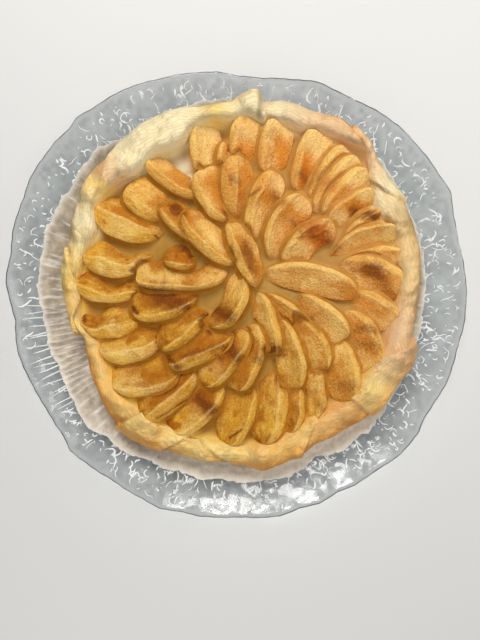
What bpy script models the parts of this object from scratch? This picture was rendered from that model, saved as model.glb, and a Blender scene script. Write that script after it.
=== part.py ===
import math

import bmesh
import bpy
import numpy as np
from mathutils import Vector

# A puff pastry apple pie on baking paper in a shallow pressed glass plate.
# Sizes are in metres, +Z is up, and the plate's flat base lies on z = 0 round the origin.

mm = 0.001
gap = 0.3 * mm

# Glass plate: a flat well with a broad rim that rises to a scalloped edge.
plate_base_radius = 118 * mm
plate_well_radius = 133 * mm
plate_thickness = 4.5 * mm
plate_height = 21 * mm
# Radius and height of the top of the rim, from the well outwards.
rim_slope = [(138 * mm, 5.5 * mm), (146 * mm, 9.2 * mm), (156 * mm, 14.2 * mm)]
plate_bearings = 80

# Baking paper.
paper_thickness = 0.5 * mm
paper_bearings = 60

# Pastry case.
case_base_radius = 124 * mm
floor_thickness = 4.2 * mm
rim_height = 22.5 * mm
case_bearings = 112
layer_step = 2.1 * mm
wall_drop = 6.5 * mm
wall_foot = 3.6 * mm
wall_clearance = 0.8 * mm
foot_height = 1.2 * mm
crease_depth = 2.6 * mm
crease_half_width = math.radians(3.6)

# Apple slices: wedges that are thin at the core and thick at the rounded back.
core_thickness = 1.6 * mm
back_thickness = 9.2 * mm
back_lift = 3.2 * mm
blunt_end = 0.02
tip_reach = 0.6 * mm
core_tuck = 4.0 * mm
slice_stations = 7
# Where the top of a slice turns down to its back, and the round of the back, from core 0 to back 1.
ridge_place, shoulder_place = 0.78, 0.93
# How far across the flat underside ends, and the height of the side and the shoulder in the thickness.
edge_place, side_share, shoulder_share = 0.9, 0.42, 0.82
# Thickness at a tip as a share of the thickness in the middle.
tip_share = 0.42
# Outline of a slice: curve and power at a pointed end, and how much a blunt end lowers the power.
outline_curve, outline_power, outline_blunting = 1.8, 0.92, 0.47
outer_ring_lifts = (4.6 * mm, 0.0)
middle_ring_lifts = (5.4 * mm, 1.6 * mm)
slice_clearance = 0.36 * mm
sky = 60 * mm

# The plan is drawn on a grid of columns to the right and rows downwards, with the plate's middle at
# grid_middle. A higher piece has a finer step.
grid_middle = (236.0, 294.5)
rim_step = 0.758 * mm
paper_step = 0.775 * mm
pie_step = 0.756 * mm
pie_middle_grid = (240, 284)

# Height levels, from the bottom up.
paper_bottom = plate_thickness + gap
case_bottom = paper_bottom + paper_thickness + gap
floor_top = case_bottom + floor_thickness
slice_bottom = floor_top + gap

# Scalloped edge of the plate, clockwise from the top left.
plate_edge = [
    (190, 71), (220, 70), (240, 74), (262, 76), (290, 77), (320, 80), (338, 89), (352, 96), (385, 113),
    (400, 124), (420, 145), (442, 175), (452, 190), (455, 215), (460, 240), (465, 262), (468, 290),
    (466, 320), (458, 350), (450, 378), (437, 400), (425, 418), (420, 432), (412, 442), (398, 457),
    (380, 468), (355, 485), (340, 491), (320, 503), (300, 508), (280, 516), (245, 517), (228, 517),
    (200, 516), (185, 512), (160, 508), (140, 497), (110, 478), (85, 462), (70, 450), (63, 435),
    (50, 415), (40, 398), (25, 370), (17, 350), (15, 320), (10, 300), (5, 280), (10, 255), (14, 222),
    (24, 195), (28, 180), (40, 160), (55, 140), (68, 128), (77, 115), (90, 108), (110, 95), (130, 85),
    (155, 78),
]  # fmt: skip

# Torn edge of the paper, clockwise from the left. It hides under the pie at the top and right.
paper_edge = [
    (38, 285), (40, 262), (45, 240), (48, 226), (55, 215), (60, 200), (70, 190), (82, 168), (100, 147),
    (125, 136), (140, 122), (165, 112), (190, 104), (210, 99), (240, 100), (280, 104), (320, 116),
    (355, 134), (385, 166), (408, 206), (423, 250), (424, 310), (415, 352), (390, 402), (372, 429),
    (358, 438), (345, 450), (315, 458), (304, 469), (290, 477), (262, 481), (240, 483), (218, 479),
    (200, 480), (182, 473), (165, 470), (145, 459), (128, 455), (120, 449), (105, 436), (88, 428),
    (80, 413), (72, 400), (66, 388), (60, 370), (48, 345), (44, 320),
]  # fmt: skip

# Outer edge of the pastry rim, clockwise from the top left.
case_edge = [
    (113, 158), (120, 147), (140, 131), (160, 119), (180, 112), (200, 109), (215, 106), (232, 103),
    (250, 94), (259, 93), (263, 102), (280, 101), (300, 107), (320, 113), (343, 119), (357, 131),
    (370, 145), (379, 165), (390, 180), (400, 194), (414, 222), (418, 245), (419, 275), (419, 295),
    (415, 325), (413, 337), (417, 350), (412, 367), (395, 385), (385, 402), (370, 417), (345, 427),
    (315, 445), (305, 455), (290, 458), (262, 470), (245, 464), (215, 463), (192, 459), (160, 449),
    (130, 437), (113, 425), (106, 412), (96, 390), (87, 360), (82, 338), (75, 332), (67, 310), (62, 285),
    (66, 255), (76, 212), (85, 182), (95, 167),
]  # fmt: skip

# Inner edge of the pastry rim, clockwise from the left.
case_lip = [
    (79, 322), (77, 300), (75, 280), (84, 250), (93, 230), (92, 208), (100, 192), (118, 178), (130, 173),
    (143, 163), (154, 152), (170, 148), (184, 139), (196, 126), (212, 120), (232, 119), (250, 113),
    (265, 119), (287, 121), (300, 127), (320, 130), (345, 138), (367, 150), (372, 178), (376, 198),
    (382, 214), (393, 223), (400, 240), (400, 258), (404, 270), (402, 288), (400, 310), (394, 328),
    (390, 350), (372, 372), (360, 392), (345, 405), (328, 412), (308, 422), (292, 433), (276, 445),
    (250, 449), (228, 447), (205, 442), (185, 436), (160, 428), (142, 417), (128, 402), (113, 388),
    (104, 367), (97, 345), (89, 333),
]  # fmt: skip

# Folds of the pastry where the rim creases, and how much higher or lower the rim is there.
rim_creases = [(115, 160), (262, 100), (350, 127), (404, 205), (413, 336), (372, 416), (300, 455),
               (237, 462), (160, 449), (115, 425), (80, 338), (70, 245)]  # fmt: skip
rim_rise = [
    ((150, 130), 6.0 * mm), ((205, 112), 5.0 * mm), ((255, 98), 1.5 * mm), ((330, 118), 0.5 * mm),
    ((390, 185), -1.0 * mm), ((418, 275), 0.0), ((412, 350), 1.0 * mm), ((370, 410), 2.0 * mm),
    ((300, 450), 0.5 * mm), ((215, 462), -1.0 * mm), ((130, 437), -2.0 * mm), ((90, 370), -2.5 * mm),
    ((66, 285), -1.0 * mm), ((80, 205), 1.0 * mm), ((112, 160), 4.0 * mm),
]  # fmt: skip

# Slices, clockwise: outer tip, inner tip, then how far the back bulges to the anticlockwise side and
# the core side to the clockwise side, in steps.
outer_ring = [
    ((200, 122), (203, 174), 12, 16), ((224, 140), (222, 176), 6, 9), ((250, 114), (242, 164), 17, 15),
    ((280, 120), (268, 172), 15, 13), ((318, 131), (300, 192), 15, 20), ((345, 146), (308, 200), 10, 22),
    ((360, 158), (315, 216), 17, 18), ((370, 173), (324, 218), 18, 16), ((378, 197), (328, 226), 17, 6),
    ((388, 212), (345, 240), 12, 14), ((405, 240), (332, 257), 23, 5), ((405, 255), (348, 264), 13, 10),
    ((405, 290), (340, 266), 22, 18), ((400, 318), (354, 290), 10, 24), ((374, 372), (343, 311), 23, 16),
    ((350, 404), (338, 338), 16, 14), ((312, 423), (304, 348), 18, 13), ((289, 434), (298, 380), 12, 13),
    ((262, 445), (275, 369), 20, 12), ((226, 446), (252, 385), 16, 14), ((170, 432), (222, 384), 18, 15),
    ((140, 420), (195, 372), 16, 16), ((110, 381), (178, 371), 20, 18), ((96, 347), (163, 330), 24, 14),
    ((77, 320), (140, 320), 18, 19), ((72, 280), (140, 290), 18, 15), ((80, 252), (152, 252), 25, 14),
    ((95, 203), (164, 230), 25, 11), ((127, 184), (168, 212), 20, 17), ((147, 152), (203, 190), 19, 9),
]  # fmt: skip
middle_ring = [
    ((200, 168), (235, 218), 21, 17), ((238, 154), (238, 217), 17, 17), ((275, 170), (255, 240), 18, 19),
    ((305, 195), (271, 257), 19, 21), ((334, 223), (284, 262), 16, 16), ((357, 296), (262, 274), 22, 8),
    ((347, 338), (300, 295), 14, 14), ((318, 342), (266, 293), 11, 10), ((326, 370), (300, 320), 15, 12),
    ((297, 389), (278, 318), 16, 12), ((272, 354), (257, 292), 14, 9), ((234, 389), (255, 322), 19, 8),
    ((203, 385), (247, 330), 16, 13), ((168, 362), (232, 335), 15, 15), ((161, 350), (207, 312), 11, 19),
    ((131, 310), (197, 293), 18, 15), ((136, 272), (227, 270), 20, 12), ((164, 259), (195, 262), 9, 17),
    ((161, 206), (198, 240), 10, 14), ((184, 210), (238, 262), 18, 8),
]  # fmt: skip
# Slices whose core was scooped out in view: how deep, at what share of the length, and how wide.
core_scoops = {
    11: (8, 0.40, 0.35), 15: (3, 0.5, 0.22), 25: (14, 0.28, 0.20), 26: (15, 0.55, 0.17), 27: (15, 0.64, 0.21),
    28: (4, 0.7, 0.2), 30: (4, 0.5, 0.3), 31: (3, 0.5, 0.22), 32: (4, 0.85, 0.2), 33: (11, 0.58, 0.30),
    34: (14, 0.52, 0.25), 35: (5, 0.45, 0.2), 40: (5, 0.5, 0.22), 45: (4, 0.5, 0.22), 47: (11, 0.62, 0.15),
    49: (3, 0.5, 0.22), 51: (7, 0.45, 0.25),
}  # fmt: skip
no_scoop = (0, 0.5, 0.2)
# Slices whose core side lies open, not under a neighbour.
open_cores = {9, 11, 25, 26, 27, 30, 32, 33, 34, 35, 36, 41, 47, 48, 51, 52}
# How blunt the outer and the inner end are, from pointed at 0 to blunt at 1, where not as usual.
usual_ends = (0.9, 0.65)
slice_ends = {
    1: (1.2, 0.9), 2: (0.6, 0.4), 3: (1.2, 0.8), 4: (1.5, 0.9), 5: (1.5, 0.7), 6: (1.2, 0.4),
    7: (1.2, 0.4), 8: (1.3, 0.4), 9: (1.4, 0.5), 10: (0.9, 0.3), 11: (1.1, 0.2), 14: (0.7, 0.3),
    17: (0.8, 0.3), 18: (0.8, 0.3), 19: (0.8, 0.2), 20: (0.9, 0.4), 24: (0.7, 0.5), 25: (0.9, 0.4),
    26: (0.7, 0.4), 27: (0.7, 0.3), 28: (0.9, 0.4), 29: (1, 0.6), 30: (1, 1), 33: (0.9, 0.5), 34: (0.9, 0.5),
    36: (1, 0.5), 37: (0.9, 0.3), 38: (0.5, 0.3), 39: (0.7, 0.2), 41: (1.5, 0.6), 42: (1.2, 0.5),
    44: (1.2, 0.6), 45: (0.5, 0.5), 47: (1.4, 0.9), 48: (0.7, 0.3), 50: (0.9, 0.6),
}  # fmt: skip
# The two slices on top in the middle, with how far each is lifted.
centre_slices = [
    ((207, 325), (238, 271), 25, 6, 3.2 * mm),
    ((228, 222), (256, 286), 9, 17, 5.4 * mm),
]

glass_look = ((0.80, 0.84, 0.84), 0.06)
paper_look = ((0.55, 0.52, 0.46), 0.75)
pastry_look = ((0.80, 0.58, 0.33), 0.65)
apple_looks = [
    ((0.72, 0.42, 0.12), 0.38),
    ((0.64, 0.33, 0.09), 0.40),
    ((0.76, 0.50, 0.20), 0.36),
]


def material(name, look):
    colour, roughness = look
    made = bpy.data.materials.new(name)
    made.use_nodes = True
    shader = made.node_tree.nodes["Principled BSDF"]
    shader.inputs["Base Color"].default_value = (*colour, 1.0)
    shader.inputs["Roughness"].default_value = roughness
    shader.inputs["Metallic"].default_value = 0.0
    return made


def plan(spot, step):
    return Vector(((spot[0] - grid_middle[0]) * step, (grid_middle[1] - spot[1]) * step))


pie_middle = plan(pie_middle_grid, pie_step)


def bearing_radius(spots, step, middle):
    # Bearing and radius round middle of each grid point.
    offsets = [plan(spot, step) - middle for spot in spots]
    bearings = [math.atan2(offset.y, offset.x) for offset in offsets]
    return bearings, [offset.length for offset in offsets]


def around(spots, values, step, middle, bearings):
    # Values given at grid points, read at each bearing.
    known, _ = bearing_radius(spots, step, middle)
    return np.interp(bearings, known, values, period=math.tau)


def edge_radii(spots, step, middle, bearings):
    _, radii = bearing_radius(spots, step, middle)
    return around(spots, radii, step, middle, bearings)


def even_bearings(count):
    return np.arange(count) * math.tau / count


def ring(middle, bearings, radii, heights):
    heights = np.broadcast_to(heights, radii.shape)
    return [
        Vector((middle.x + math.cos(b) * r, middle.y + math.sin(b) * r, z))
        for b, r, z in zip(bearings, radii, heights)
    ]


def loft(name, rings):
    # One closed body: faces between neighbouring rings of points, and a cap on the first and last.
    shape = bmesh.new()
    rows = [[shape.verts.new(point) for point in points] for points in rings]
    for first, second in zip(rows, rows[1:]):
        for i in range(len(first)):
            j = (i + 1) % len(first)
            shape.faces.new((first[i], first[j], second[j], second[i]))
    shape.faces.new(rows[0][::-1])
    shape.faces.new(rows[-1])
    bmesh.ops.recalc_face_normals(shape, faces=shape.faces)
    mesh = bpy.data.meshes.new(name)
    shape.to_mesh(mesh)
    shape.free()
    piece = bpy.data.objects.new(name, mesh)
    bpy.context.scene.collection.objects.link(piece)
    return piece


def finish(piece, look_material):
    piece.data.materials.clear()
    piece.data.materials.append(look_material)
    piece.data.shade_smooth()
    piece.data.set_sharp_from_angle(angle=math.radians(35))


def keep_largest(piece):
    # A Boolean can leave scraps: only the body with the most volume stays.
    shape = bmesh.new()
    shape.from_mesh(piece.data)
    bmesh.ops.dissolve_degenerate(shape, dist=0.002 * mm, edges=shape.edges)
    waiting = set(shape.verts)
    bodies = []
    while waiting:
        body = {waiting.pop()}
        front = list(body)
        while front:
            for edge in front.pop().link_edges:
                for vert in edge.verts:
                    if vert in waiting:
                        waiting.remove(vert)
                        body.add(vert)
                        front.append(vert)
        bodies.append(body)

    def volume(body):
        faces = {face for vert in body for face in vert.link_faces}
        return sum(face.calc_area() * face.calc_center_median().dot(face.normal) for face in faces)

    bodies.sort(key=volume)
    scraps = [vert for body in bodies[:-1] for vert in body]
    bmesh.ops.delete(shape, geom=scraps, context="VERTS")
    shape.to_mesh(piece.data)
    shape.free()


def boolean(piece, others, operation):
    for other in others:
        modifier = piece.modifiers.new(operation.title(), "BOOLEAN")
        modifier.operation = operation
        # EXACT leaves open edges where many wedges cross at flat angles.
        modifier.solver = "MANIFOLD"
        modifier.object = other
    graph = bpy.context.evaluated_depsgraph_get()
    mesh = bpy.data.meshes.new_from_object(piece.evaluated_get(graph))
    piece.modifiers.clear()
    piece.data = mesh


def rim_top(radius):
    # Height of the top of the plate at a radius inside rim_slope.
    known = [(0.0, plate_thickness), (plate_well_radius, plate_thickness), *rim_slope]
    return float(np.interp(radius, [r for r, _ in known], [z for _, z in known]))


def make_plate():
    bearings = even_bearings(plate_bearings)
    middle = Vector((0.0, 0.0))
    edge = edge_radii(plate_edge, rim_step, middle, bearings)
    # The edge is moved so that the plate's extent is even about the origin.
    corners = np.array(ring(middle, bearings, edge, 0.0))
    edge_middle = Vector(-(corners.min(axis=0) + corners.max(axis=0))[:2] / 2)
    flat = np.ones(plate_bearings)
    outline = [
        (middle, flat * plate_base_radius, 0.0),
        (middle, flat * (plate_well_radius + 3 * mm), 1.4 * mm),
        (middle, flat * 156 * mm, 9.8 * mm),
        (edge_middle, edge - 2.0 * mm, plate_height - 4.6 * mm),
        (edge_middle, edge, plate_height - 2.2 * mm),
        (edge_middle, edge - 0.8 * mm, plate_height),
        (edge_middle, edge - 3.0 * mm, plate_height - 0.4 * mm),
        *[(middle, flat * radius, height) for radius, height in reversed(rim_slope)],
        (middle, flat * plate_well_radius, plate_thickness),
    ]
    plate = loft("glass_plate", [ring(spot, bearings, radii, z) for spot, radii, z in outline])
    finish(plate, material("glass", glass_look))


def make_paper():
    bearings = even_bearings(paper_bearings)
    middle = Vector((0.0, 0.0))
    edge = edge_radii(paper_edge, paper_step, middle, bearings)
    waves = 0.35 * mm * (1 + np.sin(bearings * 11) * np.cos(bearings * 5 + 1))

    def heights(radii, lift):
        return np.array([rim_top(radius) + lift for radius in radii])

    flat = np.ones(paper_bearings)
    underside = [flat * plate_well_radius, np.minimum(edge - 3 * mm, 138 * mm), edge]
    low = [ring(middle, bearings, radii, heights(radii, gap)) for radii in underside[:2]]
    low.append(ring(middle, bearings, edge, heights(edge, gap) + waves))
    lift = gap + paper_thickness
    high = [ring(middle, bearings, edge, heights(edge, lift) + waves)]
    high += [ring(middle, bearings, radii, heights(radii, lift)) for radii in underside[1::-1]]
    paper = loft("baking_paper", low + high)
    finish(paper, material("paper", paper_look))


def crease_depths(bearings):
    # How deep the rim is pinched at each bearing, from 0 to 1.
    depths = np.zeros(len(bearings))
    known, _ = bearing_radius(rim_creases, pie_step, pie_middle)
    for crease in known:
        away = np.abs((bearings - crease + math.pi) % math.tau - math.pi)
        depths = np.maximum(depths, np.clip(1 - away / crease_half_width, 0, 1))
    return depths


def case_shape():
    # What the pastry and the space inside it share: bearings, outer and inner edge, and rim height.
    bearings = even_bearings(case_bearings)
    crease = crease_depths(bearings)
    outer = edge_radii(case_edge, pie_step, pie_middle, bearings) - 0.6 * crease_depth * crease
    lip = edge_radii(case_lip, pie_step, pie_middle, bearings)
    rise = around([s for s, _ in rim_rise], [r for _, r in rim_rise], pie_step, pie_middle, bearings)
    wave = 0.8 * mm * np.sin(bearings * 17) + 0.5 * mm * np.sin(bearings * 29 + 2)
    top = case_bottom + rim_height + rise + wave - crease_depth * crease
    return bearings, outer, lip, top


def make_case():
    bearings, outer, lip, top = case_shape()
    base = np.minimum(case_base_radius, outer - 5 * mm)
    band = outer - lip
    step = np.minimum(layer_step, 0.13 * band) * (0.75 + 0.25 * np.sin(bearings * 7 + 1))
    flat = np.ones(case_bearings)
    # From the underside up over the layered outer edge and down the inner wall.
    outline = [
        (base, flat * case_bottom),
        (outer - 2.2 * mm, case_bottom + 0.52 * (top - case_bottom)),
        (outer, top - 7.4 * mm),
        (outer - 0.3 * step, top - 5.6 * mm),
        (outer - 1.2 * step, top - 5.0 * mm),
        (outer - 1.5 * step, top - 3.2 * mm),
        (outer - 2.5 * step, top - 2.6 * mm),
        (outer - 2.8 * step, top - 0.8 * mm),
        (outer - 0.52 * band, top),
        (lip + 0.18 * band, top - 1.6 * mm),
        (lip, top - wall_drop),
        (lip - wall_foot, flat * (floor_top + foot_height)),
        (lip - wall_foot - 1.5 * mm, flat * floor_top),
    ]
    case = loft("pastry_case", [ring(pie_middle, bearings, radii, z) for radii, z in outline])
    finish(case, material("pastry", pastry_look))


def make_hollow():
    # The space inside the pastry rim, which every slice stays in.
    bearings, _, lip, top = case_shape()
    lip = np.minimum(lip, np.minimum(0.8 * lip + 0.2 * np.roll(lip, 1), 0.8 * lip + 0.2 * np.roll(lip, -1)))
    flat = np.ones(case_bearings)
    outline = [
        (lip - wall_foot - wall_clearance, flat * 0.0),
        (lip - wall_foot - wall_clearance, flat * (floor_top + foot_height)),
        (lip - wall_clearance, top - wall_drop),
        (lip - wall_clearance, flat * sky),
    ]
    hollow = loft("hollow", [ring(pie_middle, bearings, radii, z) for radii, z in outline])
    hollow.hide_render = True
    hollow.display_type = "WIRE"
    return hollow


def bulge(u, ends):
    # Half outline of a slice from 0 at a tip over 1 in the middle. A blunter end has a squarer outline.
    along = 2 * u - 1
    blunt = ends[0] if along < 0 else ends[1]
    return (1 - abs(along) ** (outline_curve + blunt)) ** (outline_power - outline_blunting * blunt)


def slice_rings(tips, bulges, lifts, scoop, ends, cutter):
    # Cross-sections of one wedge, or of the space that it needs kept clear up to the sky.
    outer_tip, inner_tip = (plan(tip, pie_step) for tip in tips)
    along = (outer_tip - inner_tip).normalized()
    aside = Vector((-along.y, along.x))
    outer_tip += along * tip_reach
    inner_tip -= along * tip_reach
    back, core = bulges
    scoop_depth, scoop_place, scoop_width = scoop
    grow = slice_clearance if cutter else 0.0
    rings = []
    for k in range(slice_stations + 1):
        turn = (1 - math.cos(math.pi * k / slice_stations)) / 2
        u = blunt_end + turn * (1 - 2 * blunt_end)
        spread = bulge(u, ends)
        reach = (2 * turn - 1) * -grow
        spot = outer_tip.lerp(inner_tip, u) + along * reach
        taper = tip_share + (1 - tip_share) * spread
        bottom = slice_bottom + lifts[0] + (lifts[1] - lifts[0]) * u - grow
        hollow = scoop_depth * pie_step * math.exp(-(((u - scoop_place) / scoop_width) ** 2))
        core_spot = spot - aside * (core * spread - hollow + grow)
        back_spot = spot + aside * (back * spread + grow)
        edge_spot = core_spot.lerp(back_spot, edge_place)
        shoulder_spot = core_spot.lerp(back_spot, shoulder_place)
        ridge_spot = core_spot.lerp(back_spot, ridge_place)
        lift = back_lift * spread
        if cutter:
            corners = [
                (core_spot, bottom), (edge_spot, bottom + edge_place * lift),
                (back_spot, bottom + lift + side_share * back_thickness * taper),
                (back_spot, sky), (core_spot, sky),
            ]  # fmt: skip
        else:
            corners = [
                (core_spot, bottom), (edge_spot, bottom + edge_place * lift),
                (back_spot, bottom + lift + side_share * back_thickness * taper),
                (shoulder_spot, bottom + lift + shoulder_share * back_thickness * taper),
                (ridge_spot, bottom + ridge_place * lift + back_thickness * taper),
                (core_spot, bottom + core_thickness * taper),
            ]  # fmt: skip
        rings.append([Vector((corner.x, corner.y, z)) for corner, z in corners])
    return rings


def slice_rows():
    # Every slice as (tips, bulges, lifts, scoop, ends, level).
    drawn = [(*row, outer_ring_lifts, 0) for row in outer_ring]
    drawn += [(*row, middle_ring_lifts, 1) for row in middle_ring]
    drawn += [(*row[:4], (row[4], row[4]), level + 2) for level, row in enumerate(centre_slices)]
    rows = []
    for number, (outer, inner, back, core, lifts, level) in enumerate(drawn, 1):
        tuck = 0.0 if number in open_cores else core_tuck
        bulges = (back * pie_step, core * pie_step + tuck)
        scoop, ends = core_scoops.get(number, no_scoop), slice_ends.get(number, usual_ends)
        rows.append(((outer, inner), bulges, lifts, scoop, ends, level))
    return rows


def bearing_of(row):
    tips = row[0]
    middle = (plan(tips[0], pie_step) + plan(tips[1], pie_step)) / 2 - pie_middle
    return math.atan2(middle.y, middle.x)


def lies_over(upper, lower):
    # A higher level covers a lower one, and within a ring each slice covers its anticlockwise neighbour.
    if upper[-1] != lower[-1]:
        return upper[-1] > lower[-1]
    return 0 < (bearing_of(lower) - bearing_of(upper)) % math.tau < math.pi


def in_reach(first, second):
    # Whether the plan boxes of two meshes meet.
    boxes = []
    for piece in (first, second):
        spots = np.array([vert.co[:2] for vert in piece.data.vertices])
        boxes.append((spots.min(axis=0), spots.max(axis=0)))
    return bool((boxes[0][0] < boxes[1][1]).all() and (boxes[1][0] < boxes[0][1]).all())


def make_slices():
    rows = slice_rows()
    hollow = make_hollow()
    pieces = [
        loft(f"apple_slice_{i + 1:02d}", slice_rings(*row[:-1], False)) for i, row in enumerate(rows)
    ]
    cutters = [loft(f"cutter_{i + 1:02d}", slice_rings(*row[:-1], True)) for i, row in enumerate(rows)]
    for cutter in cutters:
        cutter.hide_render = True
    looks = [material(f"apple_{i + 1}", look) for i, look in enumerate(apple_looks)]
    for i, piece in enumerate(pieces):
        above = [
            cutter
            for row, cutter in zip(rows, cutters)
            if row is not rows[i] and lies_over(row, rows[i]) and in_reach(piece, cutter)
        ]
        boolean(piece, [hollow], "INTERSECT")
        boolean(piece, above, "DIFFERENCE")
        keep_largest(piece)
        finish(piece, looks[i % len(looks)])
    for helper in [*cutters, hollow]:
        bpy.data.objects.remove(helper)


for old in list(bpy.context.scene.objects):
    bpy.data.objects.remove(old)
make_plate()
make_paper()
make_case()
make_slices()
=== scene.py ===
import itertools
import math

import bpy
import numpy as np
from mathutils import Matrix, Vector


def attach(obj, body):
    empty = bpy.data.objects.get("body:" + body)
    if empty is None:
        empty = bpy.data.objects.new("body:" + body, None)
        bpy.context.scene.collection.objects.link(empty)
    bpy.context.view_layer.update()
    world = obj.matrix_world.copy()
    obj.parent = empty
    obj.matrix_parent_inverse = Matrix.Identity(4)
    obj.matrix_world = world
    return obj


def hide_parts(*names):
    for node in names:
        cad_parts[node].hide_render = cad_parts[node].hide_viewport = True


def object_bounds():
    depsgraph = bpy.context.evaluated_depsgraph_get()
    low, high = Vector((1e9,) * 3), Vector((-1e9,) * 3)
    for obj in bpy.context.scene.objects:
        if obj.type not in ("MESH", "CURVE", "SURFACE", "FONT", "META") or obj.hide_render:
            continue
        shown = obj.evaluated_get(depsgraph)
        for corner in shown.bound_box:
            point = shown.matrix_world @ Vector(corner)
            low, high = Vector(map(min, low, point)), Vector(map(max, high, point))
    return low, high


# Puff pastry apple pie on baking paper in a pressed glass plate: the looks.
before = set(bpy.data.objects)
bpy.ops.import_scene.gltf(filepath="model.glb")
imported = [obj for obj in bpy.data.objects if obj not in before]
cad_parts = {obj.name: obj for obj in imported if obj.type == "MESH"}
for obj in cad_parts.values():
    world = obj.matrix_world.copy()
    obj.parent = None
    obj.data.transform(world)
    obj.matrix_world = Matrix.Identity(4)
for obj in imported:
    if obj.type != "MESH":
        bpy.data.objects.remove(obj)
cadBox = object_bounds()

mm = 0.001

# The plan is drawn on a grid of columns to the right and rows downwards. A higher piece has a finer step.
layout = {
    "gridMiddle": (236.0, 294.5),
    "rimStep": 0.758 * mm,
    "paperStep": 0.775 * mm,
    "pieStep": 0.756 * mm,
    "pieMiddle": (240, 284),
}


def plan(spot, step=layout["pieStep"]):
    middle = layout["gridMiddle"]
    return np.array([(spot[0] - middle[0]) * step, (middle[1] - spot[1]) * step])


pieMiddle = plan(layout["pieMiddle"])
origin = np.zeros(2)

# ---- noise, outlines and meshes shared by the pieces


def softNoise(points, size, seed=0):
    # Smooth random values from -1 to 1, with lumps about as wide as size.
    cells = np.asarray(points, dtype=float) / size + seed * 17.31
    base = np.floor(cells)
    part = cells - base
    part = part * part * (3 - 2 * part)
    total = np.zeros(cells.shape[:-1])
    for corner in itertools.product((0.0, 1.0), repeat=cells.shape[-1]):
        spot = base + corner
        raw = np.sin(spot @ np.array((127.1, 311.7, 74.7))[: cells.shape[-1]]) * 43758.5453
        weight = np.prod(np.where(np.array(corner) > 0, part, 1 - part), axis=-1)
        total += weight * (raw - np.floor(raw))
    return 2 * total - 1


def smoothStep(values, low, high):
    part = np.clip((values - low) / (high - low), 0, 1)
    return part * part * (3 - 2 * part)


def bearingsOf(spots, step, middle):
    offsets = np.array([plan(spot, step) - middle for spot in spots])
    return np.arctan2(offsets[:, 1], offsets[:, 0]), np.linalg.norm(offsets, axis=1)


def around(spots, values, step, middle, bearings):
    # Values given at grid points, read at each bearing.
    known, _ = bearingsOf(spots, step, middle)
    return np.interp(bearings, known, values, period=math.tau)


def edgeRadii(spots, step, middle, bearings, blur=0.012):
    # Radius of an outline at each bearing, with its corners rounded over an angle of blur.
    _, radii = bearingsOf(spots, step, middle)
    total = 0
    for shift in (-1, -0.5, 0, 0.5, 1):
        total = total + around(spots, radii, step, middle, bearings + shift * blur)
    return total / 5


def evenBearings(count):
    return np.arange(count) * math.tau / count


def ringPoints(middle, bearings, radii, heights):
    x = middle[0] + np.cos(bearings) * radii
    y = middle[1] + np.sin(bearings) * radii
    return np.stack([x, y, np.broadcast_to(heights, x.shape)], axis=-1)


def ringMesh(name, rows, marks=None):
    # A closed skin through rings of points, with a fan on the first and the last ring. marks are
    # values for each point, as an array for a number or with three columns for a colour.
    rings, count, _ = rows.shape
    index = np.arange(rings * count).reshape(rings, count)
    following = np.roll(index, -1, axis=1)
    quads = np.stack([index[:-1], following[:-1], following[1:], index[1:]], axis=-1).reshape(-1, 4)
    first, last = rings * count, rings * count + 1
    fans = [(first, b, a) for a, b in zip(index[0], following[0])]
    fans += [(last, a, b) for a, b in zip(index[-1], following[-1])]
    points = np.vstack([rows.reshape(-1, 3), rows[0].mean(axis=0), rows[-1].mean(axis=0)])
    corners = points[quads]
    across = np.cross(corners[:, 2] - corners[:, 0], corners[:, 3] - corners[:, 1])
    faces = [*quads.tolist(), *fans]
    if (across * corners.mean(axis=1)).sum() < 0:
        faces = [face[::-1] for face in faces]
    mesh = bpy.data.meshes.new(name)
    mesh.from_pydata(points.tolist(), [], faces)
    mesh.shade_smooth()
    for label, values in (marks or {}).items():
        wide = values.reshape(rings, count, -1)
        ends = np.vstack([wide[0].mean(axis=0), wide[-1].mean(axis=0)])
        flat = np.vstack([wide.reshape(rings * count, -1), ends])
        kind, field = ("FLOAT", "value") if flat.shape[1] == 1 else ("FLOAT_VECTOR", "vector")
        mesh.attributes.new(label, kind, "POINT").data.foreach_set(field, flat.ravel())
    piece = bpy.data.objects.new(name, mesh)
    bpy.context.scene.collection.objects.link(piece)
    return piece


def settle(piece, material, node=None):
    piece.data.materials.append(material)
    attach(piece, "root")
    if node:
        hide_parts(node)


# ---- shader helpers


def put(tree, kind, inputs=None, **settings):
    # One node, with its settings, and its inputs as plain values or as sockets to link.
    made = tree.nodes.new(kind)
    for name, value in settings.items():
        setattr(made, name, value)
    for name, value in (inputs or {}).items():
        if isinstance(value, bpy.types.NodeSocket):
            tree.links.new(value, made.inputs[name])
        else:
            made.inputs[name].default_value = value
    return made


def mixColour(tree, factor, first, second):
    # A colour Mix node has its factor at input 0, its colours at 6 and 7, and its result at output 2.
    return put(tree, "ShaderNodeMix", {0: factor, 6: first, 7: second}, data_type="RGBA").outputs[2]


def maths(tree, operation, first, second=0.5, clamp=False):
    return put(tree, "ShaderNodeMath", {0: first, 1: second}, operation=operation, use_clamp=clamp).outputs[0]


def product(tree, first, *factors):
    for factor in factors:
        first = maths(tree, "MULTIPLY", first, factor)
    return first


def plus(tree, first, second, clamp=False):
    return maths(tree, "ADD", first, second, clamp)


def oneMinus(tree, value):
    return maths(tree, "SUBTRACT", 1.0, value)


def remap(tree, value, low, high, start=0.0, end=1.0):
    # start where value is low or beyond it, end where it is high or beyond it.
    ends = {"From Min": low, "From Max": high, "To Min": start, "To Max": end}
    return put(tree, "ShaderNodeMapRange", {"Value": value, **ends}).outputs[0]


def mark(tree, name, kind="Fac"):
    # What the mesh holds for each point under this name.
    return put(tree, "ShaderNodeAttribute", attribute_name=name).outputs[kind]


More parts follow.
